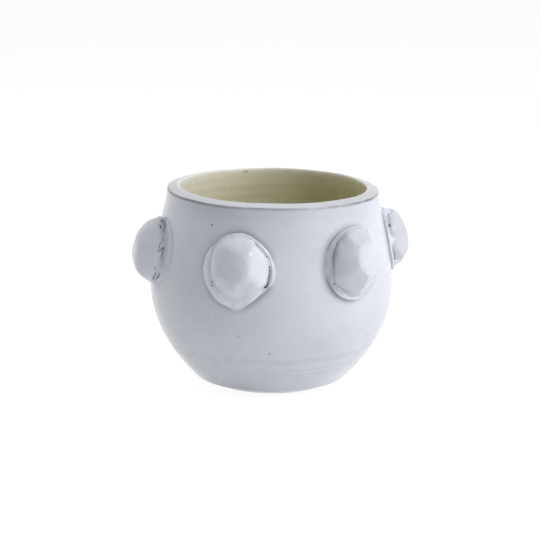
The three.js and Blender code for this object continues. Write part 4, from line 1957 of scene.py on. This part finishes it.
HANDS: tuple[HandWork, ...] = (
    HandWork(  # 1, front left
        turn=0.2, lower=0, wider=0, longer=0.5, prouder=0.5,
        thumbs=(
            Thumb(4, 57, 2.4), Thumb(-160, 12, 1.5), Thumb(176, 30, 1.2), Thumb(84, 46, 1.6),
            Thumb(-66, 52, 0.4), Thumb(-125, 46, 0.3),
        ),
        ball=Outline((
            (-175, 26.4), (-154, 27.4), (-131, 29.4), (-110, 30.4), (-85, 30.8), (-60, 30.4),
            (-40, 30.8), (-29, 30.6), (-18, 29.2), (0, 28.3), (19, 28.0), (34, 26.2), (51, 25.6),
            (68, 25.8), (79, 27.0), (92, 28.2), (109, 28.8), (132, 28.8), (151, 28.4), (168, 27.2),
        )),
        pad=Outline((
            (-175, 36.0), (-161, 36.6), (-149, 37.2), (-132, 37.8), (-122, 39.0), (-107, 39.6),
            (-92, 42.2), (-78, 37.6), (-60, 33.7), (-41, 32.8), (-30, 33.6), (-18, 34.0),
            (-6, 32.4), (5, 30.8), (18, 30.4), (30, 30.2), (51, 29.2), (72, 30.0), (90, 31.6),
            (109, 32.0), (125, 32.0), (141, 31.6), (156, 33.8), (169, 35.6),
        ), 3.0),
        swells={
            CREST: ((45, 40, 0.3), (-92, 20, -1.0), (-12, 26, -3.3)),
            VALLEY: ((-92, 40, -2.8), (175, 70, -3.8)),
            FLANK: ((-92, 16, 2.4), (-10, 24, 4.0)),
            TOE: ((-92, 9, 1.8), (-8, 24, 2.4), (-52, 20, -1.1), (55, 40, -0.5)),
            CLIMB: ((42, 26, -1.0), (-20, 26, -1.0)),
            GAP: ((-19, 16, 1.4), (-36, 7, 0.8), (42, 24, 0.3)),
            FILL: ((180, 75, 0.8), (-95, 35, 0.5)),
            GROOVE: ((42, 30, -0.45),),
            STAIN: ((-55, 28, 0.5), (-125, 20, 0.35), (-8, 22, -0.3), (60, 45, 0.3)),
            GRIME: ((42, 26, -0.05), (-16, 24, 0.1), (180, 62, 0.25)),
        },
        cracks=(
            Crack(((-24.6, -15.8, 4.6),), 1.9), Crack(((-23.7, -19.1, 3.3),), 2.3),
            Crack(((28.6, 1.8, -1.1), (28.5, -4.1, -2.4), (28.2, -9.7, -2.6), (27.4, -14.9, -2.4),
                   (25.4, -18.4, -0.9)), 1.25, 0.6, 0.9),
            Crack(((10.9, 24.3, 4.8), (12.5, 22.5, 6.1)), 1.1, 0.5, 0.6),
            Crack(((15.0, 21.0, 3.0), (16.4, 19.9, 3.0)), 1.1, 0.5, 0.75),
            Crack(((19.9, 16.5, 4.0), (23.0, 13.7, 3.0), (25.6, 11.4, 2.5),
                   (27.3, 10.2, 2.5)), 1.0, 0.5, 0.75),
            Crack(((28.0, 8.5, 2.5), (28.4, 6.2, 2.0)), 1.0, 0.5, 0.85),
            Crack(((26.0, -21.5, 1.5),), 2.4, 0.8, 0.7),
            Crack(((0.5, -35.6, 2.7), (2.5, -36.2, 1.5)), 1.4, 0.4, 0.4),
            Crack(((4.7, -34.5, 2.2), (6.3, -33.3, 2.5)), 1.1, 0.3, 0.35),
        ),
        fullness=2.5, softness=1.25, thin_glaze_and_shade_reach=55.0, painted_light_scale=1.08,
    ),
    HandWork(  # 2, front right
        turn=-1.8, lower=-1.5, wider=0, longer=0.5, prouder=-1,
        thumbs=(
            Thumb(184, 53, 2.3), Thumb(0, 7, 2.3), Thumb(100, 46, 2.2), Thumb(-58, 50, 2.8),
            Thumb(-134, 50, 2.4), Thumb(146, 50, 1.9),
        ),
        ball=Outline((
            (-169, 28.8), (-160, 30.6), (-152, 32.6), (-144, 34.2), (-136, 34.8), (-126, 34.8),
            (-114, 34.4), (-102, 34.0), (-90, 33.2), (-74, 32.2), (-60, 31.6), (-43, 31.2),
            (-20, 29.2), (5, 28.4), (23, 28.2), (54, 28.2), (81, 29.8), (100, 29.8), (118, 29.4),
            (136, 28.2), (153, 27.6), (172, 27.4),
        )),
        pad=Outline((
            (-176, 34.8), (-166, 35.8), (-153, 37.2), (-139, 38.6), (-126, 39.0), (-112, 38.8),
            (-98, 38.0), (-84, 36.4), (-70, 34.8), (-45, 33.2), (-20, 33.4), (0, 34.6), (10, 34.8),
            (23, 34.2), (45, 33.2), (62, 32.6), (82, 32.2), (100, 32.2), (115, 32.4), (127, 32.8),
            (142, 33.2), (160, 33.8),
        ), 3.0),
        swells={
            CREST: ((60, 60, 0.3), (190, 55, -1.6), (-48, 40, -3.0)),
            TOE: ((80, 60, -0.4), (180, 35, 1.0), (-135, 22, -0.6), (-48, 36, 1.6)),
            CLIMB: ((160, 44, -1.0), (-150, 50, -1.0)),
            GAP: ((150, 36, 0.85), (-165, 26, 0.6), (-122, 20, 0.85)),
            GROOVE: ((160, 46, 0.1),),
            STAIN: ((180, 50, 0.45), (-130, 30, 0.3)),
            FLANK: ((185, 60, 3.4),),
            GRIME: ((172, 62, 0.27),),
        },
        cracks=(
            Crack(((-28.9, -18.9, -1.6), (-26.7, -23.3, -1.6), (-22.6, -27.2, -1.1),
                   (-16.5, -30.8, -0.5), (-10.1, -33.6, 0.4)), 1.9, 0.3, 0.42),
            Crack(((-28.9, -18.9, -1.6),), 1.8, 0.6, 0.8),
        ),
        fullness=2.4, softness=0.65, bareness=0.45, thin_glaze_and_shade_reach=55.0, thin_glaze_and_shade_gain=2.5, toe_shade=0.2,
        painted_light_scale=1.02,
    ),
    HandWork(  # 3, right
        turn=-3, lower=0, wider=1, longer=-1.5, prouder=-0.5,
        thumbs=(
            Thumb(140, 40, 0.5), Thumb(180, 42, 1.5), Thumb(-110, 46, -1.2), Thumb(-20, 52, 0.4),
            Thumb(30, 20, 0.8),
        ),
        pad=Outline((
            (-160, 33.6), (-120, 34.5), (-85, 35.0), (-60, 34.5), (-30, 34.5), (0, 34.5),
            (30, 34.5), (60, 34.0), (95, 32.5), (130, 32.5), (160, 33.0), (180, 33.2),
        )),
        swells={
            CLIMB: ((140, 26, -1.0), (-160, 22, -1.0)),
            GAP: ((138, 20, 1.5), (-160, 18, 1.6)),
            CREST: ((180, 80, -0.9),),
            STAIN: ((180, 90, 0.4),),
            GRIME: ((180, 70, 0.1),),
        },
        cracks=(
            Crack(((-9.3, 26.9, 4.7), (-15.4, 23.4, 4.7), (-20.6, 19.5, 3.7)), 1.3, 0.5, 0.45),
            Crack(((-22.3, 18.0, 2.5), (-23.6, 16.2, 2.1)), 2.4, 0.8, 0.66),
            Crack(((-28.2, -8.0, 0.2), (-26.0, -12.9, 1.0), (-22.8, -17.9, 1.1)), 1.3, 0.5, 0.5),
            Crack(((-22.4, -20.9, 0.5), (-19.1, -25.0, 0.5)), 1.4, 0.5, 0.5),
        ),
        fullness=2.85, softness=0.6, painted_light_scale=0.85, coil_painted_light=0.22,
    ),
    HandWork(  # 4, back right
        turn=-1.5, lower=0.5, wider=-0.5, longer=0, prouder=0,
        thumbs=(
            Thumb(30, 50, 2.0), Thumb(-150, 46, 1.7), Thumb(120, 48, 1.5), Thumb(-60, 46, 1.6),
            Thumb(40, 10, 1.0),
        ),
        pad=Outline((
            (-160, 37.0), (-125, 39.0), (-100, 42.5), (-80, 38.5), (-45, 35.0), (-15, 34.0),
            (15, 35.5), (45, 34.5), (80, 33.0), (110, 32.5), (140, 34.5), (170, 36.5),
        )),
        swells={
            CLIMB: ((60, 28, -1.0),),
            GAP: ((62, 22, 1.4),),
            TOE: ((-100, 22, 2.0), (30, 30, -0.9)),
            FLANK: ((-100, 22, 3.0),),
            CREST: ((-100, 24, -1.2),),
        },
    ),
    HandWork(  # 5, back left
        turn=-1, lower=-1, wider=0.5, longer=0, prouder=-0.5,
        thumbs=(
            Thumb(-120, 52, 1.9), Thumb(70, 44, 1.8), Thumb(170, 44, 1.5), Thumb(-30, 46, 1.7),
            Thumb(-80, 12, 1.0),
        ),
        pad=Outline((
            (-170, 36.0), (-130, 36.5), (-95, 37.0), (-60, 40.5), (-35, 36.5), (0, 34.5),
            (40, 33.0), (75, 33.5), (110, 34.0), (150, 36.5),
        )),
        swells={
            CLIMB: ((-150, 26, -1.0), (30, 20, -1.0)),
            GAP: ((-148, 20, 1.4), (30, 15, 0.8)),
            TOE: ((-60, 20, 1.8),),
            FLANK: ((-60, 20, 2.4),),
            CREST: ((110, 40, 0.6),),
        },
    ),
    HandWork(  # 6, left
        turn=0, lower=3, wider=1, longer=1.5, prouder=0.5,
        thumbs=(
            Thumb(20, 44, 1.5), Thumb(-30, 46, 1.5), Thumb(175, 40, 0.8), Thumb(-140, 50, 0.6),
        ),
        pad=Outline((
            (-170, 33.0), (-130, 32.2), (-100, 32.0), (-70, 34.4), (-30, 37.0), (-16, 37.2),
            (-2, 37.5), (13, 37.8), (28, 37.5), (46, 36.6), (61, 34.4), (84, 31.8), (110, 31.8),
            (150, 32.6), )),
        swells={
            CREST: ((0, 170, -2.2),),
            FLANK: ((0, 80, 3.6),),
            TOE: ((0, 80, 1.8),),
            VALLEY: ((20, 60, -0.3),),
            CLIMB: ((66, 16, -1.0), (-46, 13, -1.0)),
            GAP: ((66, 13, 1.0), (-46, 10, 1.0)),
            STAIN: ((0, 80, -0.25),),
            GRIME: ((18, 60, 0.4),),
        },
        cracks=(
            Crack(((6.8, 30.6, 3.0), (8.3, 30.5, 1.5)), 2.8, 0.8, 0.72),
            Crack(((14.2, 26.7, 4.6), (17.3, 24.6, 4.1)), 2.1, 0.7, 0.6),
            Crack(((18.9, 24.0, 2.0), (22.2, 22.3, 1.5)), 2.0, 0.6, 0.55),
            Crack(((20.9, 21.7, 3.4), (25.9, 15.0, 2.5)), 1.6, 0.4, 0.5),
            Crack(((26.0, 12.5, 4.1), (26.3, 10.1, 4.6), (26.6, 7.1, 5.1)), 2.1, 0.6, 0.56),
            Crack(((27.1, 3.8, 5.3), (27.8, 5.3, 3.0), (29.5, 8.4, 1.5), (30.0, 4.3, 1.5),
                   (29.6, 0.2, 1.5), (29.2, -2.5, 1.5)), 1.9, 0.7, 0.6),
            Crack(((25.2, -12.7, 4.8), (24.4, -15.1, 3.4)), 2.1, 0.7, 0.6),
            Crack(((22.5, -19.7, 1.5), (19.6, -22.7, 1.5), (16.4, -26.2, 1.5)), 2.1, 0.7, 0.6),
        ),
        fullness=2.35, painted_light_scale=1.1,
    ),
)


# ---- camera and studio


@dataclass(frozen=True)
class ViewPoint:
    """Where the camera stands, as measured from the pot's own ellipses."""

    distance: float = 1.970
    elevation: float = 13.67
    roll: float = 0.598
    aim_height: float = 95 * MM
    focal_pixels: float = 1980.0
    frame_pixels: float = 540.0
    aim_pixel: tuple[float, float] = (271.0, 283.9)
    sensor: float = 36.0

    def build(self) -> Piece:
        """Set up the camera.

        Returns:
            The scene's camera.
        """
        lift = math.radians(self.elevation)
        tip = math.radians(self.roll)
        ahead = Vector((0.0, math.cos(lift), -math.sin(lift)))
        level_up = Vector((0.0, math.sin(lift), math.cos(lift)))
        right = Vector((1, 0, 0)) * math.cos(tip) + level_up * math.sin(tip)
        up = Vector((-1, 0, 0)) * math.sin(tip) + level_up * math.cos(tip)
        place = Vector((0, 0, self.aim_height)) - ahead * self.distance
        data = bpy.data.cameras.new("camera")
        data.sensor_width = self.sensor
        data.sensor_fit = "HORIZONTAL"
        data.lens = self.focal_pixels / self.frame_pixels * self.sensor
        data.shift_x = -(self.aim_pixel[0] - self.frame_pixels / 2) / self.frame_pixels
        data.shift_y = (self.aim_pixel[1] - self.frame_pixels / 2) / self.frame_pixels
        data.clip_start = 0.05
        data.clip_end = 50.0
        camera = bpy.data.objects.new("camera", data)
        axes = Matrix((right, up, -ahead)).transposed().to_4x4()
        camera.matrix_world = Matrix.Translation(place) @ axes
        bpy.context.scene.collection.objects.link(camera)
        bpy.context.scene.camera = camera
        return camera


LAMP_AIM = 110 * MM  # the height that every lamp faces


@dataclass(frozen=True)
class SoftLamp:
    """A softbox that faces the pot."""

    name: str
    azimuth: float
    elevation: float
    distance: float
    width: float
    height: float
    power: float
    tint: Colour = (1.0, 1.0, 1.0)
    mirrored: bool = True  # whether the glaze mirrors it

    def build(self) -> Piece:
        """Hang the lamp.

        Returns:
            The lamp.
        """
        around = math.radians(self.azimuth)
        lift = math.radians(self.elevation)
        aim = Vector((0, 0, LAMP_AIM))
        level = Vector((math.sin(around), -math.cos(around), 0.0))
        away = level * math.cos(lift) + Vector((0, 0, 1)) * math.sin(lift)
        data = bpy.data.lights.new(self.name, "AREA")
        data.shape = "RECTANGLE"
        data.size = self.width
        data.size_y = self.height
        data.energy = self.power
        data.color = self.tint
        lamp = bpy.data.objects.new(self.name, data)
        lamp.visible_glossy = self.mirrored
        lamp.location = aim + away * self.distance
        lamp.rotation_euler = (-away).to_track_quat("-Z", "Y").to_euler()
        bpy.context.scene.collection.objects.link(lamp)
        return lamp


@dataclass(frozen=True)
class Studio:
    """A plain pale floor in soft light, with white all round."""

    lamps: tuple[SoftLamp, ...] = (
        SoftLamp("right_window", 80, 36, 2.0, 1.5, 1.2, 21.8, (0.99, 0.97, 0.985), mirrored=False),
        SoftLamp("back_left_softbox", -121, 32, 2.0, 1.0, 1.0, 15.5, mirrored=False),
        SoftLamp("back_right_softbox", 135, 38, 2.0, 1.0, 1.0, 5.0, mirrored=False),
        SoftLamp("front_softbox", 50, 39, 2.0, 0.30, 0.45, 5.5, (0.97, 0.97, 1.02)),
        SoftLamp("low_fill", 36, 4, 2.0, 1.2, 0.6, 4.2, (0.97, 0.975, 1.01), mirrored=False),
    )
    ambient: float = 0.319
    floor_half: float = 8.0
    floor_grey: float = 0.88
    seen_glow: float = 0.93
    seen_grey: float = 0.14

    def seen(self, nodes: bpy.types.Nodes, links: bpy.types.NodeLinks) -> Socket:
        """Tell rays from the camera, a mirror or a glass from those that light the pot.

        Args:
            nodes: the nodes of the material or world.
            links: their links.

        Returns:
            1 for a ray that looks and 0 for one that lights.
        """
        path = nodes.new("ShaderNodeLightPath")
        seen = path.outputs["Is Camera Ray"]
        for kind in ("Is Glossy Ray", "Is Transmission Ray"):
            either = nodes.new("ShaderNodeMath")
            either.operation = "MAXIMUM"
            links.new(seen, either.inputs[0])
            links.new(path.outputs[kind], either.inputs[1])
            seen = either.outputs[0]
        return seen

    def floor_material(self) -> Finish:
        """Pale floor that looks white to the camera and keeps the pot's shadow.

        Returns:
            The material.
        """
        board = Board("pale_floor")
        plain = board.node("ShaderNodeBsdfDiffuse", {"Color": (self.floor_grey,) * 3})
        shade = board.node("ShaderNodeBsdfDiffuse", {"Color": (self.seen_grey,) * 3})
        glow = board.node("ShaderNodeEmission", {"Strength": self.seen_glow})
        both = board.node("ShaderNodeAddShader", {0: shade.outputs[0], 1: glow.outputs[0]})
        seen = self.seen(board.nodes, board.links)
        fed = {0: seen, 1: plain.outputs[0], 2: both.outputs[0]}
        return board.finish(board.node("ShaderNodeMixShader", fed).outputs[0])

    def floor(self) -> Piece:
        """Lay the floor.

        Returns:
            The floor, which belongs to the stage and not to the pot.
        """
        Bench.clear()
        bpy.ops.mesh.primitive_plane_add(size=2 * self.floor_half, location=(0, 0, 0))
        floor = bpy.context.object
        floor.name = "pale_floor"
        floor.data.materials.append(self.floor_material())
        return floor

    def world(self) -> None:
        """Even light from all sides, which looks white."""
        world = bpy.data.worlds.new("white_room")
        bpy.context.scene.world = world
        world.use_nodes = True
        nodes = world.node_tree.nodes
        links = world.node_tree.links
        nodes.clear()
        background = nodes.new("ShaderNodeBackground")
        level = nodes.new("ShaderNodeMapRange")
        level.inputs["To Min"].default_value = self.ambient
        level.inputs["To Max"].default_value = 1.0
        links.new(self.seen(nodes, links), level.inputs["Value"])
        links.new(level.outputs["Result"], background.inputs["Strength"])
        out = nodes.new("ShaderNodeOutputWorld")
        links.new(background.outputs[0], out.inputs["Surface"])

    def build(self) -> None:
        """Set up floor, world and lamps."""
        bpy.context.scene.view_settings.view_transform = "Standard"
        self.world()
        self.floor()
        for lamp in self.lamps:
            lamp.build()


# ---- assembly


def wall_specks(wall: ThrownWall) -> tuple[Pinhole, ...]:
    """The specks and pinholes in the vessel's own glaze.

    Args:
        wall: the thrown wall, which carries them.

    Returns:
        The specks of the outside and of the lip's inner edge.
    """
    outside_rows = (
        (-32.1, 173.5, 1.35, 0.85), (-15.0, 70.3, 1.15, 0.55), (-0.6, 53.4, 1.15, 0.75),
        (-26.1, 89.3, 1.1, 0.22), (5.6, 82.1, 1.0, 0.22), (-13.2, 70.0, 0.9, 0.25),
        (96.0, 62.0, 1.2, 0.7), (128.0, 88.0, 1.0, 0.5), (171.0, 47.0, 1.3, 0.7),
        (-160.0, 168.0, 1.1, 0.6), (-118.0, 74.0, 1.2, 0.6), (-96.0, 51.0, 0.9, 0.4),
    )
    specks: list[Pinhole] = []
    for azimuth, height, radius, darkness in outside_rows:
        specks.append(Pinhole(Seat(wall, azimuth, height * MM).on_wall(), radius * MM, darkness))
    inside_rows = (
        (-164.0, 91.9, 192.3, 1.4, 0.5), (-162.5, 91.8, 191.5, 1.6, 0.6),
        (-160.9, 91.9, 192.3, 1.3, 0.4), (96.3, 96.4, 194.2, 2.2, 0.5),
    )
    for azimuth, reach, height, radius, darkness in inside_rows:
        turn = math.radians(azimuth)
        place = (reach * math.sin(turn) * MM, -reach * math.cos(turn) * MM, height * MM)
        specks.append(Pinhole(place, radius * MM, darkness))
    return tuple(specks)


def keep(piece: Piece, node: str, slot: str) -> None:
    """Let a finished piece stand for its node.

    Args:
        piece: the finished piece.
        node: the node of the frame that it replaces.
        slot: not used.
    """
    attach(piece, "root")
    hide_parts(node)
    log.info("%s stands for %s: %d faces", piece.name, node, len(piece.data.polygons))


def main() -> None:
    """Build the pot round the frame."""
    logging.basicConfig(level=logging.INFO, format="%(message)s")
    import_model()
    ViewPoint().build()
    Studio().build()
    wall = ThrownWall()
    vessel = ThrownVessel(wall, VesselGlaze(), specks=wall_specks(wall)).build()
    keep(vessel, "thrown_vessel", "vessel_glaze")
    bosses = BossRing(wall, TinGlaze(), HANDS)
    bosses.mark_creases(vessel)
    bosses.build()
    for piece, node, slot in bosses.pieces:
        keep(piece, node, slot)


if __name__ == "__main__":
    main()
